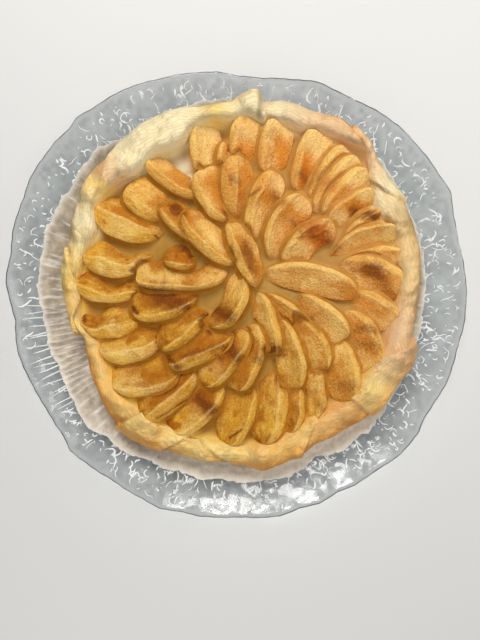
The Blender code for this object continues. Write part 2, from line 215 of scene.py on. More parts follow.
def noise(tree, place, scale, detail, **more):
    inputs = {"Vector": place, "Scale": scale, "Detail": detail, **more}
    return put(tree, "ShaderNodeTexNoise", inputs).outputs["Fac"]


def farAlong(tree, place, direction):
    made = put(tree, "ShaderNodeVectorMath", {0: place, 1: direction}, operation="DOT_PRODUCT")
    return made.outputs["Value"]


def placeVector(tree):
    return put(tree, "ShaderNodeTexCoord").outputs["Object"]


def bump(tree, shader, height, distance, strength=1.0):
    made = put(tree, "ShaderNodeBump", {"Height": height, "Distance": distance, "Strength": strength})
    tree.links.new(made.outputs["Normal"], shader.inputs["Normal"])


def newGroup(name, inputs, outputs):
    # inputs: (name, kind, value) rows, outputs: (name, kind) rows.
    group = bpy.data.node_groups.new(name, "ShaderNodeTree")
    for label, kind, value in inputs:
        socket = group.interface.new_socket(name=label, in_out="INPUT", socket_type="NodeSocket" + kind)
        if value is not None:
            socket.default_value = value
    for label, kind in outputs:
        group.interface.new_socket(name=label, in_out="OUTPUT", socket_type="NodeSocket" + kind)
    start = group.nodes.new("NodeGroupInput")
    end = group.nodes.new("NodeGroupOutput")
    return group, start.outputs, end.inputs


def useGroup(tree, group, **inputs):
    return put(tree, "ShaderNodeGroup", inputs, node_tree=group).outputs


def makeDapple():
    # Cloudy light and dark patches.
    inputs = [("Vector", "Vector", None), ("Size", "Float", 0.01), ("Contrast", "Float", 2.0)]
    group, start, end = newGroup("softDapple", inputs, [("Mask", "Float")])
    clouds = noise(group, start["Vector"], maths(group, "DIVIDE", 1.0, start["Size"]), 4.0)
    spread = product(group, maths(group, "SUBTRACT", clouds, 0.5), start["Contrast"])
    group.links.new(plus(group, spread, 0.5, clamp=True), end["Mask"])
    return group


def makeSpeckle():
    # Small dots, such as spice or bubbles: Share is how much of the surface they cover.
    inputs = [("Vector", "Vector", None), ("Size", "Float", 0.001), ("Share", "Float", 0.3)]
    group, start, end = newGroup("fineSpeckle", inputs, [("Mask", "Float")])
    dots = noise(group, start["Vector"], maths(group, "DIVIDE", 1.0, start["Size"]), 2.0, Roughness=0.7)
    edge = maths(group, "SUBTRACT", 0.72, product(group, start["Share"], 0.35))
    above = maths(group, "SUBTRACT", dots, edge)
    group.links.new(maths(group, "MULTIPLY", above, 9.0, clamp=True), end["Mask"])
    return group


def makeBaked():
    # A food colour that turns golden brown where Toast is high and dark where Scorch is.
    group, start, end = newGroup(
        "bakedColour",
        [
            ("Base", "Color", (0.8, 0.5, 0.2, 1)), ("Toasted", "Color", (0.5, 0.2, 0.05, 1)),
            ("Scorched", "Color", (0.1, 0.03, 0.01, 1)), ("Toast", "Float", 0.0), ("Scorch", "Float", 0.0),
            ("Grit", "Float", 0.5),
        ],
        [("Color", "Color")],
    )  # fmt: skip
    gritPull = product(group, maths(group, "SUBTRACT", start["Grit"], 0.5), 0.30)
    parts = []
    for name in ("Toast", "Scorch"):
        # The grit breaks up the edge of a patch, but leaves bare and full places alone.
        edge = product(group, start[name], oneMinus(group, start[name]), 4.0)
        parts.append(plus(group, start[name], product(group, edge, gritPull), clamp=True))
    golden = mixColour(group, parts[0], start["Base"], start["Toasted"])
    group.links.new(mixColour(group, parts[1], golden, start["Scorched"]), end["Color"])
    return group


softDapple = makeDapple()
fineSpeckle = makeSpeckle()
bakedColour = makeBaked()


def dapple(tree, place, size, contrast):
    return useGroup(tree, softDapple, Vector=place, Size=size, Contrast=contrast)["Mask"]


def newMaterial(name, roughness, **constants):
    # A material with its Principled shader; constants are plain values of that shader's sockets.
    made = bpy.data.materials.new(name)
    made.use_nodes = True
    tree = made.node_tree
    shader = tree.nodes["Principled BSDF"]
    shader.inputs["Roughness"].default_value = roughness
    for label, value in constants.items():
        shader.inputs[label.replace("_", " ")].default_value = value
    return made, tree, shader


# ---- floor, light and camera

studio = {
    "floorColour": (0.70, 0.70, 0.69, 1),
    "floorSize": 3.0,
    "floorHeight": -0.6 * mm,
    "lamps": [  # place, power, size
        ((-0.12, 0.66, 0.74), 6.8, 0.42),
        ((0.66, 0.20, 0.62), 2.8, 0.40),
        ((-0.16, -0.62, 0.52), 2.4, 0.80),
    ],
    "lampColour": (1.0, 0.97, 0.93),
    "aim": (0, 0, 0.01),
    "skyColour": (0.95, 0.97, 1.0, 1),
    "skyStrength": 0.25,
    "cameraPlace": (0.003, -0.0191, 0.384),
    "lens": 27.0,
    "sensorLongSide": 36.0,
}


def areaLight(name, place, power, size):
    lamp = bpy.data.lights.new(name, "AREA")
    lamp.energy, lamp.size, lamp.color = power, size, studio["lampColour"]
    holder = bpy.data.objects.new(name, lamp)
    bpy.context.scene.collection.objects.link(holder)
    holder.location = place
    holder.rotation_euler = (Vector(studio["aim"]) - holder.location).to_track_quat("-Z", "Y").to_euler()


def makeStudio():
    scene = bpy.context.scene
    scene.view_settings.view_transform = "Standard"
    half = studio["floorSize"] / 2
    mesh = bpy.data.meshes.new("floor")
    level = studio["floorHeight"]
    corners = [(-half, -half, level), (half, -half, level), (half, half, level), (-half, half, level)]
    mesh.from_pydata(corners, [], [(0, 1, 2, 3)])
    floor = bpy.data.objects.new("floor", mesh)
    scene.collection.objects.link(floor)
    material, _, shader = newMaterial("floorPaint", 0.75)
    shader.inputs["Base Color"].default_value = studio["floorColour"]
    mesh.materials.append(material)

    world = bpy.data.worlds.new("studioSky")
    scene.world = world
    world.use_nodes = True
    sky = world.node_tree.nodes["Background"]
    sky.inputs["Color"].default_value = studio["skyColour"]
    sky.inputs["Strength"].default_value = studio["skyStrength"]
    for number, (place, power, size) in enumerate(studio["lamps"], 1):
        areaLight(f"softBox{number}", place, power, size)

    lens = bpy.data.cameras.new("camera")
    lens.lens = studio["lens"]
    lens.sensor_width = studio["sensorLongSide"]
    camera = bpy.data.objects.new("camera", lens)
    scene.collection.objects.link(camera)
    camera.location = studio["cameraPlace"]
    scene.camera = camera
    print("studio ready")


makeStudio()

# ---- glass plate

plateLook = {
    "wellRadius": 133 * mm,
    "thickness": 4.5 * mm,
    "height": 21 * mm,
    "rimSlope": [(138 * mm, 5.5 * mm), (146 * mm, 9.2 * mm), (156 * mm, 14.2 * mm)],
    "bearings": 960,
    "topRings": 65,
    "topInner": 120 * mm,
    "dimple": (0.22 * mm, 3.4 * mm),  # depth and size
    "ripple": (0.40 * mm, 8 * mm),
    "tint": (0.64, 0.66, 0.67, 1),
    "shadeTint": (0.34, 0.36, 0.37, 1),
    "shadowTint": (0.80, 0.82, 0.82, 1),
}
# Underside of the plate: radius and height of each ring.
plateUnder = [(60, 0.0), (110, 0.0), (118, 0.0), (122, 0.12), (128, 0.7), (136, 1.5), (146, 5.2), (156, 9.9)]
# Rounded lip of the plate: how far in from the edge, and how far from the top.
plateLip = [
    (2.0, -4.6), (0.7, -3.4), (0.1, -2.6), (0.0, -1.8), (0.2, -0.8), (0.8, -0.15), (1.5, 0.0),
    (2.3, -0.15),
]  # fmt: skip

threadLook = {
    "count": 1700,
    "points": 9,
    "radii": (122 * mm, 170 * mm),
    "shortest": 1.8 * mm,
    "lengthRange": 7.5,
    "slant": 0.7,
    "bend": (0.2, 1.5),
    "wander": 0.26,
    "width": 1.1 * mm,
    "height": 0.5 * mm,
    "amongRibs": 0.25,
    "edgeRoom": 1.5 * mm,
    # Near-opaque white: painted glints on the threads.
    "tint": (0.97, 0.98, 0.98, 1),
}
# Rounded section of a thread: place across it, and how high.
threadSection = [(-0.5, -0.15), (-0.28, 0.65), (0.0, 0.9), (0.28, 0.65), (0.5, -0.15)]

# Scalloped edge of the plate, clockwise from the top left.
plateEdge = [
    (190, 71), (220, 70), (240, 74), (262, 76), (290, 77), (320, 80), (338, 89), (352, 96), (385, 113),
    (400, 124), (420, 145), (442, 175), (452, 190), (455, 215), (460, 240), (465, 262), (468, 290),
    (466, 320), (458, 350), (450, 378), (437, 400), (425, 418), (420, 432), (412, 442), (398, 457),
    (380, 468), (355, 485), (340, 491), (320, 503), (300, 508), (280, 516), (245, 517), (228, 517),
    (200, 516), (185, 512), (160, 508), (140, 497), (110, 478), (85, 462), (70, 450), (63, 435),
    (50, 415), (40, 398), (25, 370), (17, 350), (15, 320), (10, 300), (5, 280), (10, 255), (14, 222),
    (24, 195), (28, 180), (40, 160), (55, 140), (68, 128), (77, 115), (90, 108), (110, 95), (130, 85),
    (155, 78),
]  # fmt: skip

# Long straight ribs at the left: bearing of the first and the last, how many, and from where to where.
plateRibs = {"from": 183.0, "to": 213.0, "count": 17, "inner": 126 * mm, "points": 14}


def plateTop(radius):
    # Height of the top of the plate inside the rim's edge.
    known = [(0.0, plateLook["thickness"]), (plateLook["wellRadius"], plateLook["thickness"])]
    known += plateLook["rimSlope"]
    return np.interp(radius, [r for r, _ in known], [z for _, z in known])


def threadPaths(edge):
    # Middle lines of the pressed threads in the plan: short curved strokes, and the long ribs.
    draw = np.random.default_rng(11)
    count = threadLook["points"]
    paths = []
    for _ in range(threadLook["count"]):
        bearing = draw.uniform(-math.pi, math.pi)
        radius = draw.uniform(*threadLook["radii"])
        length = threadLook["shortest"] * threadLook["lengthRange"] ** draw.uniform(0, 1)
        bend = draw.choice((-1, 1)) * draw.uniform(*threadLook["bend"])
        turns = bearing + draw.normal(0, threadLook["slant"]) + np.linspace(-bend, bend, count)
        turns += np.cumsum(draw.normal(0, threadLook["wander"], count))
        x = radius * math.cos(bearing) + np.cumsum(np.cos(turns)) * length / count
        y = radius * math.sin(bearing) + np.cumsum(np.sin(turns)) * length / count
        inRibs = plateRibs["from"] < math.degrees(bearing) % 360 < plateRibs["to"]
        if not inRibs or draw.uniform() < threadLook["amongRibs"]:
            paths.append((np.column_stack([x, y]), draw.uniform(0.45, 1.35)))
    for turn in np.linspace(plateRibs["from"], plateRibs["to"], plateRibs["count"]):
        first = plateRibs["inner"] + draw.uniform(0, 5) * mm
        last = edge(math.radians(turn)) - draw.uniform(2.5, 7) * mm
        radii = np.linspace(first, last, plateRibs["points"])
        waver = np.radians(turn + draw.normal(0, 0.5)) + 0.006 * np.sin(radii * 130 + turn * 9)
        spots = np.column_stack([radii * np.cos(waver), radii * np.sin(waver)])
        paths.append((spots, draw.uniform(0.8, 1.2)))

    def inside(spots):
        bearings, radii = np.arctan2(spots[:, 1], spots[:, 0]), np.linalg.norm(spots, axis=1)
        return (radii < edge(bearings) - threadLook["edgeRoom"]).all()

    return [(spots, width * threadLook["width"]) for spots, width in paths if inside(spots)]


def makeThreads(edge, height):
    # Raised threads of glass on the plate, each with a rounded top and thin ends; their near-opaque white is
    # painted glints.
    points, faces = [], []
    for spots, width in threadPaths(edge):
        count = len(spots)
        along = np.gradient(spots, axis=0)
        along /= np.linalg.norm(along, axis=1)[:, None]
        aside = np.column_stack([-along[:, 1], along[:, 0]])
        taper = np.sqrt(np.clip(1 - np.linspace(-1, 1, count) ** 2, 0.02, 1))[:, None]
        base = height(spots)[:, None]
        start = len(points)
        for share, rise in threadSection:
            place = spots + aside * share * width * taper
            points.extend(np.column_stack([place, base + rise * threadLook["height"] * taper]).tolist())
        for line, i in itertools.product(range(len(threadSection) - 1), range(count - 1)):
            a = start + line * count + i
            faces.append((a, a + 1, a + 1 + count, a + count))
    mesh = bpy.data.meshes.new("glassThreads")
    mesh.from_pydata(points, [], faces)
    mesh.shade_smooth()
    piece = bpy.data.objects.new("glassThreads", mesh)
    bpy.context.scene.collection.objects.link(piece)
    # Painted glints: a near-opaque white glass.
    material, _, shader = newMaterial("glintWhiteThread", 0.30, IOR=1.47, Transmission_Weight=0.15)
    shader.inputs["Base Color"].default_value = threadLook["tint"]
    settle(piece, material)


def glassMaterial():
    material, tree, shader = newMaterial(
        "pressedGlass", 0.08, IOR=1.47, Transmission_Weight=1.0, Specular_IOR_Level=0.12
    )
    # Painted shade: the glass is tinted darker where the shade mark is high, in the hollows of the dimples,
    # standing in for refraction.
    shaded = mixColour(tree, mark(tree, "shade"), plateLook["tint"], plateLook["shadeTint"])
    tree.links.new(shaded, shader.inputs["Base Color"])
    bump(tree, shader, noise(tree, placeVector(tree), 420.0, 2.0), 0.12 * mm, 0.5)
    # Lamps shine through the glass instead of leaving a dark shadow under it.
    clear = put(tree, "ShaderNodeBsdfTransparent", {"Color": plateLook["shadowTint"]})
    isShadow = put(tree, "ShaderNodeLightPath").outputs["Is Shadow Ray"]
    through = put(tree, "ShaderNodeMixShader", {0: isShadow, 1: shader.outputs[0], 2: clear.outputs[0]})
    tree.links.new(through.outputs[0], tree.nodes["Material Output"].inputs["Surface"])
    return material


def makePlate():
    bearings = evenBearings(plateLook["bearings"])
    edge = edgeRadii(plateEdge, layout["rimStep"], origin, bearings, 0.008)
    corners = ringPoints(origin, bearings, edge, 0.0)[:, :2]
    edgeMiddle = -(corners.min(axis=0) + corners.max(axis=0)) / 2
    edge = edge - 0.3 * mm + 0.25 * mm * np.sin(bearings * 73) * np.sin(bearings * 31 + 1)
    flat = np.ones(len(bearings))
    rows = [ringPoints(origin, bearings, flat * radius * mm, z * mm) for radius, z in plateUnder]
    for inward, drop in plateLip:
        rows.append(ringPoints(edgeMiddle, bearings, edge - inward * mm, plateLook["height"] + drop * mm))
    outerTop = np.linalg.norm(rows[-1][:, :2], axis=1)
    rimHeight = rows[-1][:, 2]

    def edgeAt(turns):
        return np.interp(turns, bearings, outerTop, period=math.tau)

    def heightAt(places):
        # From the slope of the plate over to the height of the rim.
        turns, distance = np.arctan2(places[..., 1], places[..., 0]), np.linalg.norm(places, axis=-1)
        slopeEnd = plateLook["rimSlope"][-1][0]
        slope = plateTop(np.minimum(distance, slopeEnd))
        beyond = np.clip((distance - slopeEnd) / (edgeAt(turns) - slopeEnd), 0, 1)
        return slope + (np.interp(turns, bearings, rimHeight, period=math.tau) - slope) * beyond

    part = np.linspace(0, 1, plateLook["topRings"] + 1)[1:, None]
    radii = outerTop * (1 - part) + plateLook["topInner"] * part
    spots = ringPoints(origin, bearings, radii, 0.0)
    flatSpots = spots[..., :2].reshape(-1, 2)
    dimples = softNoise(flatSpots, plateLook["dimple"][1], 3)
    ripples = softNoise(flatSpots, plateLook["ripple"][1], 4)
    wrinkle = plateLook["dimple"][0] * dimples + plateLook["ripple"][0] * ripples
    fade = smoothStep(radii, 121 * mm, 126 * mm) * (1 - smoothStep(radii, outerTop - 3 * mm, outerTop))
    spots[..., 2] = heightAt(spots[..., :2]) + wrinkle.reshape(radii.shape) * fade
    rows += list(spots)
    for radius in (100 * mm, 50 * mm):
        rows.append(ringPoints(origin, bearings, flat * radius, plateLook["thickness"]))
    # Painted shade for the glass tint: high in the hollows of the dimples.
    shades = (0.5 - 0.5 * dimples).reshape(radii.shape) * fade
    plain = len(rows) - 2 - len(spots)
    piece = ringMesh("glassPlate", np.array(rows), {"shade": np.pad(shades, ((plain, 2), (0, 0)))})
    makeThreads(edgeAt, heightAt)
    settle(piece, glassMaterial(), "glass_plate")
    print("glass plate ready")


makePlate()

# ---- baking paper

paperLook = {
    "bearings": 880,
    "rings": 46,
    "inner": 100 * mm,
    "lift": 0.35 * mm,
    "thickness": 0.35 * mm,
    "crinkle": 0.9 * mm,
    "colour": (0.66, 0.57, 0.44, 1),
    "shadeColour": (0.46, 0.38, 0.28, 1),
    # Painted light towards the front of the paper.
    "frontLightColour": (1.0, 0.92, 0.78, 1),
    "edgeColour": (0.90, 0.86, 0.78, 1),
    "glintColour": (0.92, 0.88, 0.80, 1),
}

# Torn edge of the paper, clockwise from the left.
paperEdge = [
    (38, 285), (40, 262), (45, 240), (48, 226), (55, 215), (60, 200), (70, 190), (82, 168), (100, 147),
    (125, 136), (140, 122), (165, 112), (190, 104), (210, 99), (240, 100), (280, 104), (320, 116),
    (355, 134), (385, 166), (408, 206), (423, 250), (424, 310), (415, 352), (390, 402), (372, 429),
    (358, 438), (345, 450), (315, 458), (304, 469), (290, 477), (262, 481), (240, 483), (218, 479),
    (200, 480), (182, 473), (165, 470), (145, 459), (128, 455), (120, 449), (105, 436), (88, 428),
    (80, 413), (72, 400), (66, 388), (60, 370), (48, 345), (44, 320),
]  # fmt: skip


def makePaper():
    bearings = evenBearings(paperLook["bearings"])
    edge = edgeRadii(paperEdge, layout["paperStep"], origin, bearings)
    tips = ringPoints(origin, bearings, edge, 0.0)[:, :2]
    edge = edge + 0.9 * mm * softNoise(tips, 4 * mm, 8) + 0.5 * mm * softNoise(tips, 1.4 * mm, 9) - 0.6 * mm
    shares = 1 - (1 - np.linspace(0, 1, paperLook["rings"])) ** 1.3
    upper, lower, ribGlintLines = [], [], []
    for share in shares:
        radius = paperLook["inner"] + (edge - paperLook["inner"]) * share
        spots = ringPoints(origin, bearings, radius, plateTop(radius))
        flatSpots = spots[:, :2]
        # Sharp creases between flat facets, and radial pleats where the sheet climbs the rim.
        facets = 1 - np.abs(softNoise(flatSpots, 7 * mm, 12)) * 2
        small = 1 - np.abs(softNoise(flatSpots, 3 * mm, 13)) * 2
        turn = bearings * 150 + 3 * softNoise(flatSpots, 12 * mm, 14)
        pleats = np.abs(np.sin(turn / 2)) * smoothStep(radius, 118 * mm, 140 * mm)
        # The ribs of the plate show through, as relief and as painted highlights.
        degrees = np.degrees(bearings) % 360 + 0.8 * softNoise(flatSpots, 10 * mm, 15)
        steps = (degrees - plateRibs["from"]) / (plateRibs["to"] - plateRibs["from"])
        over = smoothStep(steps, -0.02, 0.02) * (1 - smoothStep(steps, 0.98, 1.02))
        ribs = over * np.clip(np.cos(steps * (plateRibs["count"] - 1) * math.tau), 0, 1) ** 4
        climb = smoothStep(radius, 110 * mm, 132 * mm)
        relief = 0.9 + 0.45 * facets + 0.22 * small + 0.3 * pleats + 0.8 * ribs
        lift = (paperLook["lift"] + paperLook["crinkle"] * climb * relief)[:, None]
        upper.append(spots + [0, 0, 1] * (lift + paperLook["thickness"]))
        lower.append(spots + [0, 0, 1] * lift)
        ribGlintLines.append(ribs)
    rims = [np.full(len(bearings), share) for share in shares]
    turning = np.stack([np.cos(bearings), np.sin(bearings)], axis=-1) * 43
    polar = [np.column_stack([turning, rim * 3]) for rim in rims]
    known = {"rim": rims, "polar": polar, "ribs": ribGlintLines}
    marks = {name: np.array(lines + lines[::-1]) for name, lines in known.items()}
    piece = ringMesh("bakingPaper", np.array(lower + upper[::-1]), marks)
    settle(piece, paperMaterial(), "baking_paper")
    print("baking paper ready")


def paperMaterial():
    material, tree, shader = newMaterial("greasyPaper", 0.42, Specular_IOR_Level=0.4)
    place = placeVector(tree)
    cloud = dapple(tree, place, 0.008, 3.0)
    colour = mixColour(tree, cloud, paperLook["shadeColour"], paperLook["colour"])
    # Painted light: the paper is painted lighter towards the front.
    paintedLightFront = remap(tree, farAlong(tree, place, (0.3, -1.0, 0.0)), 0.02, 0.15, 0.0, 0.85)
    colour = mixColour(tree, paintedLightFront, colour, paperLook["frontLightColour"])
    colour = mixColour(tree, remap(tree, mark(tree, "rim"), 0.93, 1.0), colour, paperLook["edgeColour"])
    # Painted highlights: the glint streaks and the ribs are painted lighter.
    glint = remap(tree, noise(tree, mark(tree, "polar", "Vector"), 1.0, 3.0), 0.56, 0.70)
    lit = maths(tree, "MAXIMUM", glint, mark(tree, "ribs"))
    colour = mixColour(tree, lit, colour, paperLook["glintColour"])
    tree.links.new(colour, shader.inputs["Base Color"])
    tree.links.new(remap(tree, cloud, 0.0, 1.0, 0.62, 0.9), shader.inputs["Alpha"])
    creases = put(tree, "ShaderNodeTexVoronoi", {"Vector": place, "Scale": 190.0}, feature="DISTANCE_TO_EDGE")
    folds = maths(tree, "MINIMUM", creases.outputs["Distance"], 0.25)
    bump(tree, shader, plus(tree, folds, product(tree, noise(tree, place, 900.0, 3.0), 0.25)), 0.9 * mm, 0.8)
    return material


makePaper()

# ---- pastry case

caseLook = {
    "baseRadius": 124 * mm,
    "bottom": 5.6 * mm,
    "floorTop": 9.8 * mm,
    "rimHeight": 22.5 * mm,
    "wallDrop": 6.5 * mm,
    "wallFoot": 3.6 * mm,
    "bearings": 780,
    "profilePoints": 104,
    "floorEdge": 12 * mm,
    "reliefLimit": 1.9 * mm,
    "creaseStep": 3.4 * mm,
    "layerGap": 2.6 * mm,
    "layerStep": 2.3 * mm,
    "puffDepth": 1.3 * mm,
    "wetTone": (0.97, 0.93, 0.80),
    "floorTone": (0.98, 0.97, 0.95),
    "paleLayer": (0.95, 0.84, 0.60, 1),
    "toasted": (0.82, 0.36, 0.07, 1),
    "scorched": (0.25, 0.08, 0.03, 1),
}

# Outer edge of the pastry rim, clockwise from the top left.
caseEdge = [
    (113, 158), (120, 147), (140, 131), (160, 119), (180, 112), (200, 109), (215, 106), (232, 103),
    (250, 94), (259, 93), (263, 102), (280, 101), (300, 107), (320, 113), (343, 119), (357, 131),
    (370, 145), (379, 165), (390, 180), (400, 194), (414, 222), (418, 245), (419, 275), (419, 295),
    (415, 325), (413, 337), (417, 350), (412, 367), (395, 385), (385, 402), (370, 417), (345, 427),
    (315, 445), (305, 455), (290, 458), (262, 470), (245, 464), (215, 463), (192, 459), (160, 449),
    (130, 437), (113, 425), (106, 412), (96, 390), (87, 360), (82, 338), (75, 332), (67, 310), (62, 285),
    (66, 255), (76, 212), (85, 182), (95, 167),
]  # fmt: skip

# Inner edge of the pastry rim, clockwise from the left.
caseLip = [
    (79, 322), (77, 300), (75, 280), (84, 250), (93, 230), (92, 208), (100, 192), (118, 178), (130, 173),
    (143, 163), (154, 152), (170, 148), (184, 139), (196, 126), (212, 120), (232, 119), (250, 113),
    (265, 119), (287, 121), (300, 127), (320, 130), (345, 138), (367, 150), (372, 178), (376, 198),
    (382, 214), (393, 223), (400, 240), (400, 258), (404, 270), (402, 288), (400, 310), (394, 328),
    (390, 350), (372, 372), (360, 392), (345, 405), (328, 412), (308, 422), (292, 433), (276, 445),
    (250, 449), (228, 447), (205, 442), (185, 436), (160, 428), (142, 417), (128, 402), (113, 388),
    (104, 367), (97, 345), (89, 333),
]  # fmt: skip

# Folds of the pastry where the rim creases, and how much higher or lower the rim is round it.
rimCreases = [
    (115, 160), (262, 100), (350, 127), (404, 205), (413, 336), (372, 416), (300, 455), (237, 462),
    (160, 449), (115, 425), (80, 338), (70, 245),
]  # fmt: skip
rimRise = [
    ((150, 130), 6.0), ((205, 112), 5.0), ((255, 98), 1.5), ((330, 118), 0.5), ((390, 185), -1.0),
    ((418, 275), 0.0), ((412, 350), 1.0), ((370, 410), 2.0), ((300, 450), 0.5), ((215, 462), -1.0),
    ((130, 437), -2.0), ((90, 370), -2.5), ((66, 285), -1.0), ((80, 205), 1.0), ((112, 160), 4.0),
]  # fmt: skip

# How the baked pastry is coloured round the rim, and how toasted it is there from 0 to 1.
pastryTints = {
    "cream": (0.90, 0.78, 0.46),
    "butter": (0.92, 0.66, 0.17),
    "gold": (0.90, 0.54, 0.10),
    "blush": (0.80, 0.51, 0.26),
    "sand": (0.79, 0.53, 0.20),
    "toast": (0.82, 0.42, 0.11),
}
rimTints = [
    ((104, 172), "blush", 0.35), ((118, 150), "cream", 0.0), ((150, 128), "cream", 0.0),
    ((185, 112), "cream", 0.0), ((215, 108), "butter", 0.05), ((245, 98), "cream", 0.1),
    ((280, 104), "cream", 0.0), ((320, 114), "blush", 0.15), ((352, 128), "blush", 0.3),
    ((375, 155), "blush", 0.1), ((392, 185), "cream", 0.0), ((412, 225), "sand", 0.1),
    ((419, 275), "sand", 0.15), ((414, 330), "blush", 0.2), ((410, 365), "blush", 0.35),
    ((385, 400), "butter", 0.5), ((350, 425), "toast", 0.8), ((315, 444), "gold", 0.6),
    ((290, 457), "gold", 0.7), ((262, 468), "gold", 0.9), ((235, 463), "butter", 0.6),
    ((200, 460), "butter", 0.3), ((165, 450), "butter", 0.6), ((148, 446), "gold", 1.0),
    ((125, 434), "butter", 0.7), ((110, 420), "gold", 1.0), ((98, 392), "gold", 1.0),
    ((86, 355), "gold", 0.9), ((78, 332), "butter", 0.2), ((66, 300), "gold", 0.15),
    ((64, 265), "butter", 0.05), ((75, 215), "cream", 0.05), ((88, 178), "butter", 0.15),
]  # fmt: skip


def rimTint(bearings):
    known = [spot for spot, _, _ in rimTints]
    parts = [[pastryTints[name][i] for _, name, _ in rimTints] for i in range(3)]
    return np.stack([around(known, part, layout["pieStep"], pieMiddle, bearings) for part in parts], axis=-1)


def caseShape(bearings):
    step = layout["pieStep"]
    outer = edgeRadii(caseEdge, step, pieMiddle, bearings)
    lip = edgeRadii(caseLip, step, pieMiddle, bearings)
    rise = around([spot for spot, _ in rimRise], [r * mm for _, r in rimRise], step, pieMiddle, bearings)
    wave = 0.8 * mm * np.sin(bearings * 17) + 0.5 * mm * np.sin(bearings * 29 + 2)
    top = caseLook["bottom"] + caseLook["rimHeight"] + rise + wave - 0.6 * mm
    return outer, lip, top


def overlaps(bearings, slant):
    # One side of each fold stands over the other: a step down that fades away from the crease.
    known, _ = bearingsOf(rimCreases, layout["pieStep"], pieMiddle)
    total = np.zeros(np.broadcast(bearings, slant).shape)
    for number, crease in enumerate(known):
        side = 1 if number % 2 else -1
        lean = 0.22 * math.sin(number * 2.3 + 1)
        away = side * ((bearings - crease - lean * slant + math.pi) % math.tau - math.pi)
        high = np.exp(-np.clip(away, 0, None) / 0.11) * smoothStep(away, -0.006, 0.006)
        low = np.exp(np.clip(away, None, 0) / 0.05) * (1 - smoothStep(away, -0.006, 0.006))
        total += 0.55 * high - 0.45 * low
    return total


def cutCorners(values):
    # One step of a subdivided curve down the rows, with both ends kept.
    near = values[:-1] * 0.75 + values[1:] * 0.25
    far = values[:-1] * 0.25 + values[1:] * 0.75
    inner = np.stack([near, far], axis=1).reshape(-1, values.shape[1])
    return np.vstack([values[:1], inner, values[-1:]])


def caseProfile(outer, lip, top):
    # Radii and heights of the case at each bearing, from the underside over the rim down to the floor,
    # and how far along that line each point lies.
    flat, band = np.ones(len(outer)), outer - lip
    bottom, floorTop = caseLook["bottom"], caseLook["floorTop"]
    shoulder, foot = top - caseLook["wallDrop"], lip - caseLook["wallFoot"]
    base = np.minimum(caseLook["baseRadius"], outer - 5 * mm)
    outline = [
        (base, flat * bottom),
        (base + 0.5 * (outer - base), bottom + 0.16 * (top - bottom)),
        (outer - 2.0 * mm, bottom + 0.5 * (top - bottom)),
        (outer - 0.5 * mm, top - 7.6 * mm),
        (outer - 0.3 * mm, top - 5.0 * mm),
        (outer - 1.1 * mm, top - 2.6 * mm),
        (outer - 0.18 * band, top - 1.2 * mm),
        (outer - 0.42 * band, top - 0.3 * mm),
        (outer - 0.62 * band, top - 0.4 * mm),
        (lip + 0.22 * band, top - 1.3 * mm),
        (lip + 0.06 * band, top - 3.2 * mm),
        (lip - 0.4 * mm, shoulder),
        (lip - 3.0 * mm, 0.5 * (shoulder + floorTop)),
        (foot, flat * (floorTop + 1.2 * mm)),
        (foot - 2.5 * mm, flat * (floorTop + 0.2 * mm)),
        (lip - caseLook["floorEdge"], flat * floorTop),
    ]
    radii, heights = (cutCorners(np.array(values)) for values in zip(*outline))
    pieces = np.hypot(np.diff(radii, axis=0), np.diff(heights, axis=0))
    lengths = np.vstack([flat * 0, np.cumsum(pieces, axis=0)])
    shares = np.linspace(0, 1, caseLook["profilePoints"])
    # Finer steps over the rim than under it and on the floor.
    shares = shares - 0.085 * np.sin(math.tau * (shares - 0.07))
    shares = (shares - shares[0]) / (shares[-1] - shares[0])
    r, z = np.empty((2, len(shares), len(outer)))
    for i, length in enumerate(lengths.T):
        r[:, i] = np.interp(shares, length / length[-1], radii[:, i])
        z[:, i] = np.interp(shares, length / length[-1], heights[:, i])
    return r, z, shares[:, None] * lengths[-1]


def caseTints(bearings, across, places):
    # Colour and toast of each point of the profile, and where the inner wall is moist.
    spots, tint = [spot for spot, _, _ in rimTints], rimTint(bearings)
    rimToast = around(spots, [amount for _, _, amount in rimTints], layout["pieStep"], pieMiddle, bearings)
    ragged = 0.10 * softNoise(places, 5 * mm, 30)
    edgeWeight = 0.12 + 0.88 * (1 - smoothStep(across + ragged, 0.14, 0.60))
    toast = rimToast * edgeWeight * (1 - 0.8 * smoothStep(across, 0.85, 1.1))
    toast = np.clip(toast + 0.12 * softNoise(places, 9 * mm, 29) * rimToast, 0, 1)
    moist = smoothStep(across, 0.95, 1.2)
    tints = tint * (1 - moist[..., None]) + tint * caseLook["wetTone"] * moist[..., None]
    return tints, toast, moist


